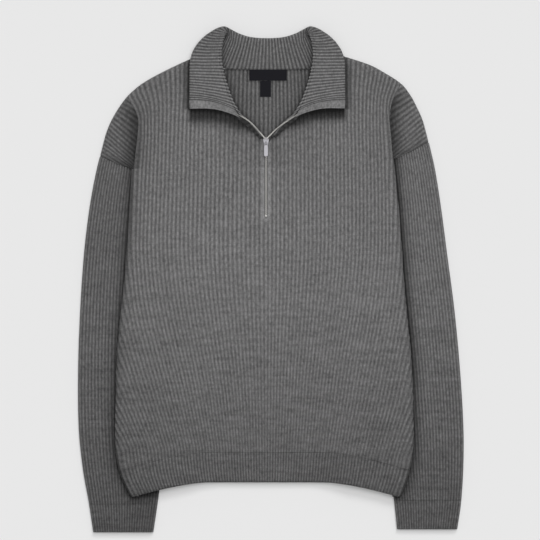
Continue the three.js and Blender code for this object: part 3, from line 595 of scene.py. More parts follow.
def upper_panel(side, rib, up, top_table):
    """A rib between the zip and the crease, on its way up to the neck or the shoulder."""
    low = lower_body(side, rib, UNDERARM_MIDDLE_Y)
    low_out, low_y = abs(low.point.x - ZIP_X), low.point.y
    top_out, top_y = top_of(top_table, rib)
    run_out, run_y = top_out - low_out, top_y - low_y
    length = math.hypot(run_out, run_y)
    end = 1 - (WALL + GAP) / length
    inset = up * end
    crease_out = side.crease.at("out", up)
    straight = mix(side.crease.at("out", 0), top_of(top_table, side.crease_rib)[0], inset**2)
    share = (rib / side.crease_rib) ** 5
    out = mix(low_out, top_out, inset**2) + (crease_out - straight) * share
    y = mix(low_y, top_y, inset)
    on_shoulder = ease(90, 110, out)
    rest = (end - inset) * length
    sine = max(0.0, 1 - rest / SHOULDER_ROUND) * on_shoulder
    lift = lift_at(out) * (1 - ease(0, 0.7, up))
    back = (LIFT + FOLD_LAYER) * lift + BACK_WALL
    inward = crease_out - out
    ridge = 2.4 * ease(34, 8, inward) * ease(0.1, 0.3, up) * (1 - ease(0.72, 0.98, up))
    puff = puff_at(out, y) * (1 - on_shoulder * ease(0.6, 1, up))
    flat_z = back + LAYER_AIR + ridge + puff
    near = max(0.0, 1 - max(0.0, inward) / EDGE_ROUND)
    fall = max(0.0, flat_z - CAP_Z)
    curl = 1 - math.sqrt(max(0.0, 1 - near**2))
    level_part = EDGE_ROUND * math.sqrt(max(0.0004, 1 - near**2))
    bend = fall * near / max(1e-6, math.hypot(fall * near, level_part))
    lean = 0.9 * sine / length
    # Painted shade beside the crease and the body's edge, stronger on the left.
    if side is LEFT:
        shade = beside(inward, 9, mix(0.56, 0.28, ease(0.25, 0.7, up)))
    else:
        shade = beside(inward, 2.5, 0.2)
    surface = {"tilt": (lean * run_out, lean * run_y), "painted_shade": shade * (1 - ease(0.8, 1, up))}
    if rib >= side.crease_rib:
        z = CAP_Z + REST_LIFT * (1 - ease(0, 0.16, up))
        return Spot(side, out, y, z - 0.2 * sine, 0.0, back, folded=True, **surface)
    return Spot(side, out, y, flat_z - fall * curl - 0.2 * sine, LIFT * lift * (1 - curl), back,
                tilt_out=min(0.96, bend) * (1 - sine), **surface)


def body(column, level, back=False):
    """Level -1 is the hem's seam, 0 is the underarm and 1 is the neck or the shoulder."""
    side, rib = side_of(column), abs(column)
    if level <= 0:
        return lower_body(side, rib, mix(UNDERARM_MIDDLE_Y, SEAM_Y, -level))
    piece = shoulder_cap if rib > side.crease_rib else upper_panel
    return piece(side, rib, level, side.back_top if back else side.top)


def rib_height(column):
    """A rib's rounded profile: broad on top, and 0 in the groove between two ribs."""
    return (0.5 + 0.5 * math.cos(2 * math.pi * column)) ** 0.6


def undulation(point, size=0.7):
    """The slight unevenness of cloth that was smoothed by hand."""
    a = noise.noise(Vector((point.x / 70, point.y / 110, 2.0)))
    b = noise.noise(Vector((point.x / 24, point.y / 40, 7.0)))
    return size * (a + 0.35 * b)


print("front at the middle of the belly:", round(body(1, -0.5).point.z, 1), "mm up")

# %% [markdown]
# ## One way to make every cloth piece
#
# A piece starts as a flat grid whose columns follow its ribs and whose rows follow its
# courses. Faces that are cut away go first. The grid is extruded, which closes it into a
# shell, and then each vertex moves to its place: the extruded ones to the outside and the
# others to the inside. Columns that meet in a fold are merged.

# %% Shells


class Vertex:
    """Where a vertex goes, and what the material needs to know there."""

    def __init__(self, point, uv, ribbed, painted_shade):
        self.point, self.uv, self.ribbed, self.painted_shade = point, uv, ribbed, painted_shade


def shell(name, columns, rows, outside, inside, cut=None, lined=True, material=KNIT):
    """A cloth piece. Where it isn't lined, its inner faces are left out, except at the edges."""
    bm = bmesh.new()
    uv = bm.loops.layers.uv.new("Cloth")
    ribbed = bm.verts.layers.float.new("ribbed")
    # This layer holds the painted shade that darkens the knit's colour.
    painted_shade = bm.verts.layers.float.new("painted_shade")
    bmesh.ops.create_grid(bm, x_segments=len(columns) - 1, y_segments=len(rows) - 1, size=0.5)

    def cell(co):
        return (co.x + 0.5) * (len(columns) - 1), (co.y + 0.5) * (len(rows) - 1)

    if cut:
        gone = []
        for face in bm.faces:
            i, j = cell(face.calc_center_median())
            i, j = int(i), int(j)
            if cut((columns[i] + columns[i + 1]) / 2, (rows[j] + rows[j + 1]) / 2):
                gone.append(face)
        bmesh.ops.delete(bm, geom=gone, context="FACES")
    for face in bm.faces:
        face.smooth = True
    grown = bmesh.ops.extrude_face_region(bm, geom=bm.faces[:], use_keep_orig=True)["geom"]
    outer = {item for item in grown if isinstance(item, bmesh.types.BMVert)}
    tops = [item for item in grown if isinstance(item, bmesh.types.BMFace)]
    # This face lies on top in every piece, so its normal tells whether the shell is inside out.
    probe = Vector((-0.25, 0))
    top = min(tops, key=lambda face: (face.calc_center_median().xy - probe).length)
    if not lined:
        rim = {v for face in bm.faces for v in face.verts
               if v not in outer and any(w in outer for w in face.verts)}
        hidden = [f for f in bm.faces if not any(v in outer or v in rim for v in f.verts)]
        bmesh.ops.delete(bm, geom=hidden, context="FACES")
    spots = {}
    for vert in bm.verts:
        i, j = cell(vert.co)
        place = outside if vert in outer else inside
        spots[vert] = place(columns[round(i)], rows[round(j)])
    for face in bm.faces:
        for loop in face.loops:
            loop[uv].uv = spots[loop.vert].uv
    for vert, spot in spots.items():
        vert.co = spot.point * MM
        vert[ribbed] = spot.ribbed
        vert[painted_shade] = spot.painted_shade
    bmesh.ops.remove_doubles(bm, verts=bm.verts[:], dist=3e-6)
    bmesh.ops.recalc_face_normals(bm, faces=bm.faces[:])
    top.normal_update()
    if top.normal.z < 0:
        bmesh.ops.reverse_faces(bm, faces=bm.faces[:])
    return finished(bm, name, material)


def finished(bm, name, material, body_name="garment"):
    """The object of a bmesh, on its body and with its material."""
    mesh = bpy.data.meshes.new(name)
    bm.to_mesh(mesh)
    bm.free()
    mesh.materials.append(material)
    made = bpy.data.objects.new(name, mesh)
    scene.collection.objects.link(made)
    on_garment.objects.link(made)
    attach(made, body_name)
    print(name, len(mesh.polygons), "faces")
    return made


def spaced(start, end, count):
    return [mix(start, end, i / count) for i in range(count + 1)]


FINE = 6
RIB_COLUMNS = spaced(-RIBS_PER_HALF, RIBS_PER_HALF, 2 * RIBS_PER_HALF * FINE)

# %% [markdown]
# ## Front panel
#
# The front is one piece from the hem band's seam to the shoulders, with the dropped caps. It
# could be a boolean of a slab and a slit, but a grid whose faces are left out along the zip
# keeps the columns straight. Beside the zip there is a plain strip with no ribs. Along its
# seams the cloth is drawn down by the sewing.

# %% Front panel
SLIT_HALF_RIBS = 0.33
LOWER = [-1, -0.9965, -0.991, -0.98] + spaced(-0.96, -0.02, 36) + [0]
UPPER = spaced(0.015, 0.94, 54 if FINE == 6 else 24) + [0.955, 0.97, 0.98, 0.99, 1]


def course(level):
    """How many stitches there are from the underarm's height to this level."""
    return level * (LOWER_LENGTH if level <= 0 else UPPER_LENGTH) / STITCH


def plain_share(point):
    """1 on the plain strips beside the zip, 0 where there are ribs."""
    strip = 1 - ease(PLACKET - 1, PLACKET + 0.8, abs(point.x - ZIP_X))
    return strip * ease(PLACKET_END_Y - 1, PLACKET_END_Y + 1, point.y)


def front_outside(column, level):
    spot = body(column, level)
    plain = plain_share(spot.point)
    ribs = 0.0 if spot.folded else mix(rib_height(column), 0.45, plain)
    if level > 0.5:
        ribs *= 1 - 0.85 * clamp(1.6 * (1 - spot.normal.z))
    seam = bell((level + 1) * LOWER_LENGTH, 2.0)
    height = (WALL + RIB * ribs) * spot.height * (1 - 0.1 * seam)
    point = spot.off(height)
    point.z += undulation(point)
    # Painted shade to the right and low down, below the lapels, beside the collar and edges.
    away_from_lamp = together(0.022 * ease(-10, 50, point.x), 0.065 * ease(80, -120, point.y))
    painted_shade = together(spot.painted_shade, 0.08 * seam, away_from_lamp, under_lapel(point),
                    beside_collar(point), beside_body(side_of(column), point))
    ribbed = 0.0 if spot.folded else (1 - plain) * mix(1, 0.8, ease(130, -60, point.y))
    return Vertex(point, (abs(column), course(level)), ribbed, painted_shade)


def front_inside(column, level):
    spot = body(column, level)
    # The inner face is painted darker, as painted shade.
    return Vertex(spot.off(INNER), (abs(column), course(level)), 1.0, 0.6)


def slit(column, level):
    """True for the faces between the two edges of the zip's opening."""
    y = mix(UNDERARM_MIDDLE_Y, SEAM_Y, -level)
    return abs(column) < SLIT_HALF_RIBS and y > SLIT_BOTTOM_Y


front = shell("front", RIB_COLUMNS, LOWER + UPPER, front_outside, front_inside, cut=slit,
              lined=False)
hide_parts("front_panel")

# %% [markdown]
# ## Back panel
#
# The back lies on the surface and on the sleeves. What shows of it is the part inside the
# neck, so its ribs are fine there and plain elsewhere.

# %% Back panel
SEEN_RIBS = 15  # on each side, inside the neck
BACK_SINK, BACK_DEPTH, STEEP_SINK = 0.8, 2, 6.4
NECK_RISE = 3.4
LOWER_ROLL_Y = 315
BACK_COLUMNS = (spaced(-RIBS_PER_HALF, -SEEN_RIBS, 33)
                + spaced(-SEEN_RIBS, SEEN_RIBS, 2 * SEEN_RIBS * FINE)[1:-1]
                + spaced(SEEN_RIBS, RIBS_PER_HALF, 33))


def sunk(spot, depth):
    """A place below the front's layer, and further below where the layer turns down."""
    return spot.off(-LAYER_AIR - depth - STEEP_SINK * (1 - spot.normal.z))


def upper_face(spot):
    point = sunk(spot, BACK_SINK)
    point.z = max(min(point.z, spot.back), spot.under + 1)
    return point


def lower_face(spot):
    point = sunk(spot, BACK_DEPTH)
    point.z = spot.under
    return point


def neck_rise(column, level):
    """The back's neck edge goes up a little, behind the collar."""
    return NECK_RISE * clamp(level) * (1 - ease(SEEN_RIBS - 1, SEEN_RIBS + 1.5, abs(column)))


def back_outside(column, level):
    point = upper_face(body(column, level, back=True))
    seen = 1 - ease(SEEN_RIBS - 2, SEEN_RIBS, abs(column))
    point.z -= 0.9 * (1 - rib_height(column)) * seen
    point.y += neck_rise(column, level)
    # Painted shade inside the neck: all over, and more beside the rolls and below the collar.
    inward = ROLL.at("out", min(point.y, LOWER_ROLL_Y)) - abs(point.x - COLLAR_X)
    below_neck = LOWER_ROLL_Y + 1 - point.y
    painted_shade = together(0.19, beside(inward, 8, 0.42), beside(inward, 2.2, 0.4),
                    beside(below_neck, 1.2, 0.25))
    return Vertex(point, (abs(column), course(level)), 1.25 * seen, painted_shade)


def back_inside(column, level):
    point = lower_face(body(column, level, back=True))
    point.y += neck_rise(column, level)
    return Vertex(point, (abs(column), course(level)), 0.0, 0.0)


BACK_LEVELS = [-0.995] + spaced(-0.9, 0, 12) + spaced(0.05, 1, 22)
back = shell("back", BACK_COLUMNS, BACK_LEVELS, back_outside, back_inside)
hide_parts("back_panel")

# %% [markdown]
# ## Hem bands
#
# The band is knitted in the same ribs and sewn on, so its first and last courses are drawn
# down a little.

# %% Hem bands
BACK_HEM_TOP_Y = SEAM_Y - 1.2
HEM_ROWS = [HEM_Y, HEM_Y + 0.5, HEM_Y + 1.4, HEM_Y + 3] + spaced(HEM_Y + 6, SEAM_Y - 5, 6)
HEM_ROWS += [SEAM_Y - 2.6, SEAM_Y - 1.2, SEAM_Y + 0.2]


def hem_spot(column, row):
    return lower_body(side_of(column), abs(column), row)


def hem_outside(column, row):
    spot = hem_spot(column, row)
    seam = bell(row - SEAM_Y, 2.2)
    edge = bell(row - HEM_Y, 1.6)
    ribs = 0.0 if spot.folded else rib_height(column)
    point = spot.off((WALL + RIB * ribs) * (1 - 0.1 * seam - 0.45 * edge))
    # Painted shade on the band: less lamp light, more right of the middle, and at seam and edge.
    far_from_lamp = 0.09 + 0.07 * bell(point.x - 90, 50)
    painted_shade = together(spot.painted_shade, 0.08 * seam, 0.12 * edge, far_from_lamp,
                    beside_body(side_of(column), point))
    return Vertex(point, (abs(column), row / STITCH), 1.0, painted_shade)


# The inner faces and the back's band are painted darker, as painted shade.
def hem_inside(column, row):
    return Vertex(hem_spot(column, row).off(INNER), (abs(column), row / STITCH), 1.0, 0.5)


def back_hem_outside(column, row):
    point = upper_face(hem_spot(column, min(row, BACK_HEM_TOP_Y)))
    return Vertex(point, (abs(column), row / STITCH), 1.0, 0.3)


def back_hem_inside(column, row):
    point = lower_face(hem_spot(column, min(row, BACK_HEM_TOP_Y)))
    return Vertex(point, (abs(column), row / STITCH), 1.0, 0.3)


hem = shell("front_hem", RIB_COLUMNS, HEM_ROWS, hem_outside, hem_inside)
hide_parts("front_hem_band")
back_hem = shell("back_hem", spaced(-RIBS_PER_HALF, RIBS_PER_HALF, 192),
                 spaced(HEM_Y, SEAM_Y - GAP, 6), back_hem_outside, back_hem_inside)
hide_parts("back_hem_band")

# %% [markdown]
# ## Sleeves and cuffs
#
# A sleeve is a flattened tube. Its grid goes once round: the ribbed upper layer, the folded
# edge, and the layer that lies on the surface. The first and last columns meet and merge.

# %% Sleeves and cuffs
SLEEVE_RIBS = 25
SLEEVE_WALL = 2.0
EDGE_Z = 3.4
SEAM_Z = 3.6  # the height that the sewing draws the upper layer towards
HEAD_OUT, HEAD_Y = 146, 180


def edge_turn(across, start):
    return max(0.0, (abs(across) - start) / (1 - start))


def round_off(across, start):
    return math.sqrt(max(0.0, 1 - edge_turn(across, start) ** 2))


def sleeve_point(side, across, y, inset, z):
    outer = SLEEVE.at(side.name, y) - inset
    inner = SLEEVE.at(side.name + "_inner", y) + inset
    return Vector((ZIP_X + side.sign * mix(inner, outer, (across + 1) / 2), y, z))


TOP_ACROSS = spaced(-1, 1, SLEEVE_RIBS * FINE)
LOW_ACROSS = [1, 0.99, 0.96, 0.9, 0.7, 0.35, 0, -0.35, -0.7, -0.9, -0.96, -0.99, -1]
ROUND = [("top", a) for a in TOP_ACROSS] + [("low", a) for a in LOW_ACROSS[1:]]


def tube(name, side, rows, row_y, seams, uneven):
    """A sleeve or cuff; r runs from 0 to 1 along it, and across from -1 to 1 over it."""
    def outside(place, r):
        layer, across = place
        y = row_y(across, r)
        rib = SLEEVE_RIBS * (across + 1) / 2 + 0.5
        # The lower layer is painted darker, as painted shade.
        if layer == "low":
            point = sleeve_point(side, across, y, 0, EDGE_Z * (1 - round_off(across, 0.88)))
            return Vertex(point, (rib, y / STITCH), 1.0, 0.2)
        sewn = min(1.0, sum(bell(r - end, width) for end, width in seams))
        z = EDGE_Z + (SLEEVE_TOP - RIB - EDGE_Z) * round_off(across, 0.86)
        z += RIB * rib_height(rib) * round_off(across, 0.9)
        point = sleeve_point(side, across, y, 0, mix(z, SEAM_Z, 0.1 * sewn))
        point.z += undulation(point, uneven) * round_off(across, 0.8)
        # Painted shade at the seams and beside the body.
        painted_shade = together(0.08 * sewn, beside_sleeve(side, point))
        return Vertex(point, (rib, y / STITCH), 1.0, painted_shade)

    def inside(place, r):
        layer, across = place
        y = row_y(across, r)
        rib = SLEEVE_RIBS * (across + 1) / 2 + 0.5
        if layer == "low":
            z = mix(2.3, 3.0, edge_turn(across, 0.8))
        else:
            room = SLEEVE_TOP - RIB - SLEEVE_WALL - EDGE_Z
            z = max(3.3, EDGE_Z + room * round_off(across, 0.86))
        # The inner face is painted darker, as painted shade.
        return Vertex(sleeve_point(side, across, y, SLEEVE_WALL, z), (rib, y / STITCH), 1.0, 0.6)

    return shell(name, ROUND, rows, outside, inside)


def make_sleeve(side):
    top_out, top_y = side.top.rows[-1][1:]
    crease_out = side.crease.rows[0][1]

    def line(out):
        """The height of the sleeve's top, which is sewn to the cap outside the crease."""
        if out > crease_out:
            return mix(side.underarm_y, top_y, (out - crease_out) / (top_out - crease_out))
        return mix(side.head, side.underarm_y, clamp((out - HEAD_OUT) / (crease_out - HEAD_OUT)))

    def row_y(across, r):
        out = mix(SLEEVE.at(side.name + "_inner", HEAD_Y), top_out + 1.5, (across + 1) / 2)
        under = 2.2 * (1 - ease(crease_out, crease_out + 14, out))
        return mix(side.cuff_seam, line(out) - 0.2 + under, r)

    rows = [0, 0.0035, 0.0075, 0.014] + spaced(0.025, 0.975, 52) + [0.986, 0.9925, 0.9965, 1]
    return tube(side.name + "_arm", side, rows, row_y, [(0, 0.004), (1, 0.004)], 0.8)


def make_cuff(side):
    def row_y(across, r):
        return mix(side.cuff_end, side.cuff_seam + 0.2, r)

    rows = [0, 0.015, 0.04, 0.08] + spaced(0.14, 0.88, 7) + [0.94, 0.975, 1]
    return tube(side.name + "_wrist", side, rows, row_y, [(0, 0.03), (1, 0.045)], 0.2)


for side in (LEFT, RIGHT):
    arm = make_sleeve(side)
    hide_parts(side.name + "_sleeve")
    wrist = make_cuff(side)
    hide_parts(side.name + "_cuff")

# %% [markdown]
# ## Collar
#
# The collar is one ribbed strip round the neck. Each section goes up from the neck seam and
# over the roll to the collar's edge, and smooth curves join the sections. A place on it is
# given by k, from 0 at the seam to 7 at the edge, and q, from 0 to 1 between the zip's two
# sides. Along the zip the collar ends in a plain band.

# %% Collar
COLLAR_WALL, COLLAR_PITCH, PLAIN_SECTIONS = 2.8, 4.65, 2
EDGE_K, EDGE_FROM = 7, 6.6  # the edge, and where the cloth starts to turn over towards it
BACK_FROM, BACK_TO = 0.36, 0.64  # the part behind the neck
COLLAR_SECTIONS = [  # seam, roll and edge as (out, y, z), then bend and turn
    ((11, 211, 12), (4.7, 213.8, 14.4), (116.6, 256.8, 15), 30.5, 1),
    ((31, 231, 12), (23, 236, 15), (116.8, 263.5, 15), 21, 1),
    ((46, 244, 12), (37, 248, 15.5), (117, 270, 15), 14, 1),
    ((57, 263, 12), (48.5, 265, 16), (116.7, 279, 15), 5, 1),
    ((63, 279, 12), (54.5, 279.5, 16), (116.8, 289, 15), 2, 1),
    ((69, 299, 12), (61, 299, 16.2), (116.8, 302.5, 15), 0, 1),
    ((73, 314, 12), (65.2, 315, 16.4), (116.7, 316, 15), 0, 1),
    ((75.5, 326, 12), (67.6, 330, 16.6), (115.8, 329.8, 15), -1, 1),
    ((77.5, 332, 12), (68, 343, 17), (111.4, 344, 15), -2, 1),
    ((79.5, 336, 11), (66.6, 353.5, 17.6), (103.8, 355.8, 15.4), -3, 1),
    ((80.5, 338, 9.6), (64.5, 362, 18.2), (94.8, 364.9, 16.4), -3, 0.9),
    ((80.5, 338, 8), (61.8, 368.5, 18.6), (86.7, 370.8, 17.4), -2, 0.6),
    ((79, 335, 6.4), (59.5, 371, 18), (75.5, 377, 18.4), 0, 0.3),
    ((76, 329, 5), (58, 368, 16), (64.5, 379.4, 19), 0, 0),
    ((71, 321, 4.4), (54.5, 361, 13.6), (55, 375, 18.4), 0, 0),
    ((62, 316, 4.2), (47.5, 352, 11.8), (43.5, 369.4, 17), 0, 0),
    ((41, 315, 4.2), (33.5, 346, 10.8), (29, 364.6, 15.6), 0, 0),
    ((20, 314.6, 4.2), (16.6, 342.5, 10.4), (14, 362.6, 14.8), 0, 0),
    ((0, 314.5, 4.2), (0, 341.5, 10.2), (0, 362.2, 14.6), 0, 0),
]


def section_curve(section, sign):
    """Points of one section, from the seam to the edge."""
    seam, roll, edge = (Vector((COLLAR_X + sign * out, y, z)) for out, y, z in section[:3])
    bend, turn = section[3:]
    chord = edge - roll
    sideways = Vector((-sign * chord.y, sign * chord.x, 0)).normalized() * bend
    middle = roll.lerp(edge, 0.5) + sideways
    under = seam.lerp(roll, 0.7)
    under.z = mix(under.z, mix(seam.z, roll.z, 0.25), turn)

    def over(t):
        p = roll * (1 - t) ** 2 + middle * 2 * t * (1 - t) + edge * t**2
        p.z += 1.3 * turn * ease(0, 0.12, t) * (1 - ease(0.2, 0.7, t))
        return p

    return [seam, under, roll, over(0.08), over(0.22), over(0.45), over(0.72), edge]


def through(points, t):
    """A centripetal Catmull-Rom curve, at t from 0 to 1."""
    last = len(points) - 1
    i = min(last - 1, int(t * last))
    w = t * last - i
    before = points[i - 1] if i > 0 else points[0] * 2 - points[1]
    after = points[i + 2] if i + 2 <= last else points[-1] * 2 - points[-2]
    p, q = points[i], points[i + 1]
    d0, d1, d2 = ((b - a).length ** 0.5 or 1.0 for a, b in ((before, p), (p, q), (q, after)))
    m = ((p - before) / d0 - (q - before) / (d0 + d1) + (q - p) / d1) * d1
    n = ((q - p) / d1 - (after - p) / (d1 + d2) + (after - q) / d2) * d1
    return p + m * w + (q * 3 - p * 3 - m * 2 - n) * w**2 + (p * 2 - q * 2 + m + n) * w**3


collar_rows = [section_curve(s, -1) for s in COLLAR_SECTIONS]
collar_rows += [section_curve(s, 1) for s in reversed(COLLAR_SECTIONS[:-1])]
collar_lines = [[row[k] for row in collar_rows] for k in range(EDGE_K + 1)]
LAST_SECTION = len(collar_rows) - 1

collar_reach = []
for row in collar_rows:
    reach = [0.0]
    for a, b in zip(row, row[1:]):
        reach.append(reach[-1] + (b - a).length)
    collar_reach.append(reach)


def collar_courses(k, q):
    """How many stitches there are from the neck seam to this place."""
    i = min(LAST_SECTION - 1, int(q * LAST_SECTION))
    j = min(EDGE_K - 1, int(k))
    a, b = (mix(reach[j], reach[j + 1], k - j) for reach in collar_reach[i:i + 2])
    return mix(a, b, q * LAST_SECTION - i) / STITCH


def collar_point(k, q):
    """A place on the side that shows."""
    return through([through(line, q) for line in collar_lines], k / EDGE_K)


COLLAR_STEPS = 400
MEASURE = spaced(0, 1, COLLAR_STEPS)
middle_line = [through(collar_lines[5], q) for q in MEASURE]
lengths = [0.0]
for a, b in zip(middle_line, middle_line[1:]):
    lengths.append(lengths[-1] + (b - a).length)
COLLAR_RIBS = round(lengths[-1] / COLLAR_PITCH)


def collar_q(share):
    """Ribs are evenly spaced along the middle of the turned-out part.

    The search leaves out the last step, so the right end stays that far from the zip.
    """
    wanted = share * lengths[-1]
    i = 0
    while i < COLLAR_STEPS - 2 and lengths[i + 1] < wanted:
        i += 1
    part = clamp((wanted - lengths[i]) / (lengths[i + 1] - lengths[i]))
    return mix(MEASURE[i], MEASURE[i + 1], part)


PLAIN = PLAIN_SECTIONS / LAST_SECTION
collar_shares = spaced(0, 1, COLLAR_RIBS * FINE)
collar_qs = {share: collar_q(share) for share in collar_shares}
collar_cache = {}


def collar_place(share, k):
    """The place, the direction out of the cloth and q, worked out once for both layers."""
    key = (share, k)
    if key not in collar_cache:
        q, step = collar_qs[share], 0.003
        along_q = collar_point(k, min(1, q + step)) - collar_point(k, max(0, q - step))
        along_k = collar_point(min(EDGE_K, k + 0.2), q) - collar_point(max(0, k - 0.2), q)
        collar_cache[key] = (collar_point(k, q), along_q.cross(along_k).normalized(), q)
    point, normal, q = collar_cache[key]
    return point.copy(), normal, q


def edge_part(k):
    """0 until the collar's edge begins to turn over, 1 at its end."""
    return max(0.0, (k - EDGE_FROM) / (EDGE_K - EDGE_FROM))


def foot_rise(q, k):
    """Behind the neck, the collar's foot goes up a little, as the back panel's edge does."""
    return 1.4 * (1 - ease(0, 1, k)) if BACK_FROM < q < BACK_TO else 0.0


def collar_outside(share, k):
    point, normal, q = collar_place(share, k)
    rib = share * COLLAR_RIBS + 0.5
    end = min(q, 1 - q)
    plain = 1 - ease(PLAIN - 0.004, PLAIN + 0.002, end)
    band_seam = bell(end - PLAIN, 0.004)
    tape_line = bell(end - 0.010, 0.0035)
    edge = edge_part(k)
    depth = mix(1.45 * (1 - rib_height(rib)), 0.45, plain)
    depth = mix(0.7, depth, ease(0, 0.3, k))
    depth += 0.6 * band_seam + 0.3 * tape_line + 1.5 * edge**2
    # Painted shade on the collar: in the creases, at the roll, on the standing part and at seams.
    turned = ease(0.02, 0.06, end) * (1 - ease(0.31, 0.38, end))
    over_roll = ease(1.6, 2.1, k)
    standing = mix(0.14 - 0.02 * k, 0.16 * (1 - over_roll), turned)
    crease = 0.72 * bell(k - 1.55, 0.34) * turned
    inward = ROLL.at("out", min(point.y, ROLL_TOP_Y)) - abs(point.x - COLLAR_X)
    neck = beside(inward, 3.4, 0.56) * ease(-3, 0.5, inward) * (1 - turned * over_roll)
    painted_shade = together(0.12 * tape_line, 0.3 * band_seam, 0.2 * edge**3, standing, crease, neck,
                    0.3 * bell(k, 0.1))
    point = point - normal * depth
    point.y += foot_rise(q, k)
    return Vertex(point, (rib, collar_courses(k, q)), 1.3 * (1 - plain), painted_shade)


def collar_inside(share, k):
    point, normal, q = collar_place(share, k)
    # The inner face is painted darker, most where it is hidden, as painted shade.
    hidden = 1 - ease(0.28, 0.34, min(q, 1 - q))
    depth = (COLLAR_WALL + 0.9 - 0.8 * edge_part(k)**2) * mix(0.55, 1, ease(0, 1, k))
    point.y += foot_rise(q, k)
    uv = (share * COLLAR_RIBS + 0.5, collar_courses(k, q))
    return Vertex(point - normal * depth, uv, 1.0, mix(0.3, 0.82, hidden))


COLLAR_KS = [0, 0.08, 0.18] + spaced(0.33, EDGE_FROM, 19) + [6.7, 6.8, 6.9, 6.96, EDGE_K]
collar = shell("collar_rib", collar_shares, COLLAR_KS, collar_outside, collar_inside,
               material=COLLAR_KNIT_PAINTED_LIGHTER)
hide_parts("collar")
print("collar ribs:", COLLAR_RIBS)

# %% [markdown]
# ## Zip
#
# The zip is metal. Its closed chain is made of teeth that lock alternately, its open chains
# follow the collar's edges, and the slider carries a plain pull. Each tooth is a small
# bevelled block, repeated along a line.

# %% Zip materials


def metal(name, value, rough, tint):
    look = Look(name)
    wear = look.noise(400, 3)
    colour = look.grey(wear * 0.16 + (value - 0.08), tint)
    scratch = look.noise(900, 3, (1, 0.08, 1))
    return look.surface(Base_Color=colour, Metallic=0.45, Roughness=wear * 0.15 + rough,
                        Normal=look.bump(scratch, 0.0001))


def woven(name, value, tint, threads):
    """A plain weave of `threads` a metre."""
    look = Look(name)
    x, y, _ = look.axes(look.object_place())
    weave = (x * threads).wave() * (y * threads * 0.8).wave()
    shade = (weave * 0.35 + 0.75) * (1 + (look.noise(900, 2) - 0.5) * 0.3) * value
    return look.surface(Base_Color=look.grey(shade, tint), Roughness=0.8, Specular_IOR_Level=0.2,
                        Normal=look.bump(weave, 0.0002))


TEETH = metal("Zinc teeth", 0.64, 0.5, (1.0, 0.98, 0.94))
BRIGHT = metal("Satin zinc", 0.42, 0.5, (1.0, 0.985, 1.05))
TAPE = woven("Zip tape", 0.2, (1.0, 1.0, 1.0), 1400)
LABEL = woven("Woven label", 0.0125, (1.0, 0.97, 1.35), 1100)
print("zip and label materials:", [m.name for m in (TEETH, BRIGHT, TAPE, LABEL)])

# %% Rods, plates and teeth


def rod(bm, points, radius, sides=8):
    """A round rod along points, in millimetres."""
    rings = []
    for before, point, after in zip(points[:1] + points, points, points[1:] + points[-1:]):
        turn = (after - before).to_track_quat("Z", "Y")
        ring = []
        for j in range(sides):
            angle = 2 * math.pi * j / sides
            step = turn @ Vector((radius * math.cos(angle), radius * math.sin(angle), 0))
            ring.append(bm.verts.new((point + step) * MM))
        rings.append(ring)
    for a, b in zip(rings, rings[1:]):
        for j in range(sides):
            k = (j + 1) % sides
            bm.faces.new((a[j], a[k], b[k], b[j])).smooth = True
    bm.faces.new(rings[0][::-1])
    bm.faces.new(rings[-1])


def plate(bm, outline, low, high, round_by):
    """A flat plate, with the outline of its right half from the bottom to the top."""
    points = [(out, y) for out, y in outline] + [(-out, y) for out, y in reversed(outline)]
    base = [bm.verts.new(Vector((ZIP_X + out, y, low)) * MM) for out, y in points]
    face = bm.faces.new(base)
    grown = bmesh.ops.extrude_face_region(bm, geom=[face])["geom"]
    top = [item for item in grown if isinstance(item, bmesh.types.BMVert)]
    bmesh.ops.translate(bm, verts=top, vec=(0, 0, (high - low) * MM))
    edges = {edge for vert in base + top for edge in vert.link_edges}
    bmesh.ops.bevel(bm, geom=list(edges), offset=round_by * MM, segments=2, affect="EDGES")


def teeth(name, places, size, node):
    """Bevelled blocks at places, each a centre and the direction of the chain."""
    bm = bmesh.new()
    for centre, direction in places:
        made = bmesh.ops.create_cube(bm, size=1.0)["verts"]
        turn = direction.to_track_quat("Y", "Z").to_matrix()
        bmesh.ops.scale(bm, verts=made, vec=[s * MM for s in size])
        bmesh.ops.rotate(bm, verts=made, matrix=turn)
        bmesh.ops.translate(bm, verts=made, vec=centre * MM)
    bmesh.ops.bevel(bm, geom=bm.edges[:], offset=0.22 * MM, segments=1, affect="EDGES")
    made = finished(bm, name, TEETH)
    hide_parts(node)


# %% Zip chains
TOOTH_PITCH, STAGGER = 1.45, 0.3
CLOSED_FROM_Y, CLOSED_LENGTH, CLOSED_Z = 98.5, 101, 8.3
OPEN_TEETH = 92
closed = []
for i in range(int(CLOSED_LENGTH / TOOTH_PITCH)):
    x = ZIP_X + (STAGGER if i % 2 else -STAGGER)
    closed.append((Vector((x, CLOSED_FROM_Y + i * TOOTH_PITCH, CLOSED_Z)), Vector((0, 1, 0))))
teeth("closed_teeth", closed, (2.2, 0.9, 1.8), "closed_chain")

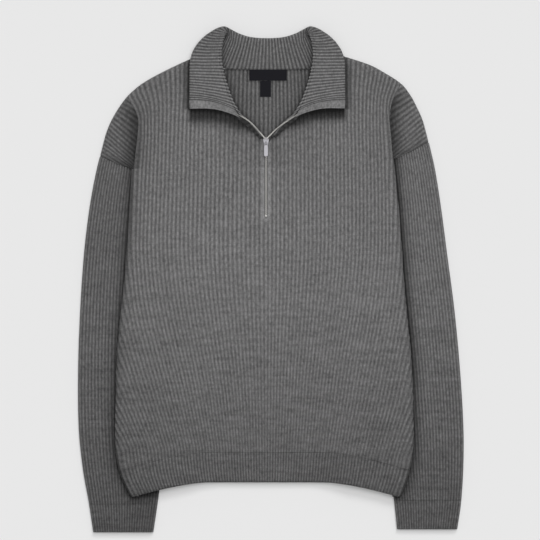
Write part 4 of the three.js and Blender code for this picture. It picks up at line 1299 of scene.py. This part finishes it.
LEFT_START = [
    (6, 215.4, 16.0), (11, 221.2, 16.9), (18.5, 229.8, 17.6), (26, 237, 18.1),
    (33.5, 241.8, 18.3), (41, 245, 18.0),
]
RIGHT_START = [
    (5.5, 218.2, 16.2), (12, 224.9, 17), (21.3, 232.4, 17.8), (30.3, 238.3, 18.1),
    (40, 243.8, 18.1),
]
LAPEL_EDGE = [
    (50, 249, 17.2), (60.5, 252.6, 16.8), (74, 255.3, 16.6), (89, 256.8, 16.4),
    (104, 257.4, 16.4), (113.6, 257.7, 16.4),
]
for sign, name, start in ((-1, "left", LEFT_START), (1, "right", RIGHT_START)):
    line = [Vector((ZIP_X + sign * 1.4, 211.5, 12.6)), Vector((ZIP_X + sign * 2.2, 213.2, 14.4))]
    for out, y, z in start + LAPEL_EDGE:
        tucked = ease(26, 56, out)
        line.append(Vector((COLLAR_X + sign * out, y + 3 * tucked, z - 0.3 - 4.2 * tucked)))
    row = []
    for i in range(OPEN_TEETH):
        t = i / OPEN_TEETH
        place = through(line, t)
        row.append((place, (through(line, t + 0.01) - place).normalized()))
    teeth(name + "_open_teeth", row, (2.0, 0.9, 1.8), name + "_open_chain")

# %% [markdown]
# The slider is wide where the two chains enter it and narrow where they leave it joined. Its
# bail is an arch that holds the pull. The pull is a small plain bar with a loop at its top,
# which lies down along the chain. Both bodies are bevelled plates, and the arch and the loop
# are rods.

# %% Slider, pull and stop
SLIDER_HALF = [(2.1, 199.8), (2.8, 201), (3.1, 205), (4.2, 209), (4.3, 211.4), (2.3, 213.8)]
BAIL_Y, BAIL_Z, BAIL_HALF, BAIL_RISE = 205.4, 12.0, 3.2, 3.3
PULL_HALF = [(2.1, 185.6), (2.7, 186.3), (2.8, 188), (2.8, 200), (2.5, 201.4), (1.9, 202.2)]
LOOP_Z = 13.7

bm = bmesh.new()
plate(bm, SLIDER_HALF, 9.6, 12.2, 0.5)
arch = []
for angle in spaced(0, math.pi, 8):
    y, z = BAIL_Y - BAIL_HALF * math.cos(angle), BAIL_Z + BAIL_RISE * math.sin(angle)
    arch.append(Vector((ZIP_X, y, z)))
rod(bm, arch, 0.62)
slider = finished(bm, "slider_body", BRIGHT)
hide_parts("slider")

bm = bmesh.new()
plate(bm, PULL_HALF, 13.1, 14.3, 0.3)
loop = [(-1.5, 201.6), (-1.9, 203.4), (-1.8, 205.2), (-1.1, 206.1), (0, 206.3),
        (1.1, 206.1), (1.8, 205.2), (1.9, 203.4), (1.5, 201.6)]
rod(bm, [Vector((ZIP_X + out, y, LOOP_Z)) for out, y in loop], 0.6)
pull = finished(bm, "pull", BRIGHT, "pull_tab")
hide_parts("pull_tab")

bm = bmesh.new()
plate(bm, [(0.9, 95.1), (1.2, 95.6), (1.2, 97), (0.9, 97.5)], 5.2, 9.4, 0.3)
stop = finished(bm, "stop", TEETH)
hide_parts("bottom_stop")

# %% [markdown]
# ## Tape and labels
#
# The tape is woven and lies behind the slit. The neck label is a dark woven strip, left
# blank, with a smaller tab below it. They are thin sheets with slightly lifted edges, and a
# few stitches hold the label at its two ends.

# %% Tape and labels
LABEL_X, LABEL_LOW_Y = COLLAR_X + 1.1, 299.6
SHEET_THICK = 0.7


def flat_sheet(name, node, middle, half, low_y, high_y, top, material, lift):
    """A thin sheet that is rounded at its edges and waves by `lift`."""
    def outside(u, v):
        x = middle + half * u
        z = top - 0.25 * abs(u) ** 6 - 0.2 * abs(v) ** 8
        z += lift * math.sin(3.1 * u + 1.3 * v) * (1 - v * v)
        return Vertex(Vector((x, mix(low_y, high_y, (v + 1) / 2), z)), (u, v), 0.0, 0.0)

    def inside(u, v):
        vertex = outside(u, v)
        vertex.point.z -= SHEET_THICK
        return vertex

    steps = [-1, -0.98, -0.93, -0.8, -0.6, -0.3, 0, 0.3, 0.6, 0.8, 0.93, 0.98, 1]
    made = shell(name, steps, steps, outside, inside, material=material)
    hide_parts(node)


flat_sheet("tape", "zip_tape", ZIP_X, 11, 86.5, 209, 5.4, TAPE, 0.05)
flat_sheet("label", "neck_label", LABEL_X, 28.1, LABEL_LOW_Y, 316, 4.2, LABEL, 0.25)
flat_sheet("tab", "size_tab", COLLAR_X - 2.6, 8.1, 275.2, 299.2, 4.0, LABEL, 0.3)

bm = bmesh.new()
for sign in (-1, 1):
    for i in range(6):
        foot = Vector((LABEL_X + sign * 27, LABEL_LOW_Y + 1 + i * 2.5, 4.1))
        steps = ((-0.5, 0, 0), (-0.3, 0.5, 0.4), (0.1, 1.1, 0))
        rod(bm, [foot + Vector(step) for step in steps], 0.2, sides=6)
finished(bm, "label_stitches", LABEL)

# %% [markdown]
# ## Floor
#
# A plain pale surface, so that the outline and the soft shadow show.

# %% Floor
FLOOR_DROP, FLOOR_HALF = 0.3, 4000
floor_look = Look("Pale floor")
pale = floor_look.noise(3, 1) * 0.01 + 0.835
floor_material = floor_look.surface(Base_Color=floor_look.grey(pale), Roughness=0.9)
floor_mesh = bpy.data.meshes.new("Floor")
floor_bm = bmesh.new()
bmesh.ops.create_grid(floor_bm, x_segments=1, y_segments=1, size=FLOOR_HALF * MM)
bmesh.ops.translate(floor_bm, verts=floor_bm.verts[:], vec=(0, 0, -FLOOR_DROP * MM))
floor_bm.to_mesh(floor_mesh)
floor_bm.free()
floor_mesh.materials.append(floor_material)
floor = bpy.data.objects.new("Floor", floor_mesh)
scene.collection.objects.link(floor)
on_floor.objects.link(floor)
print("floor", FLOOR_DROP, "mm below the sweater")
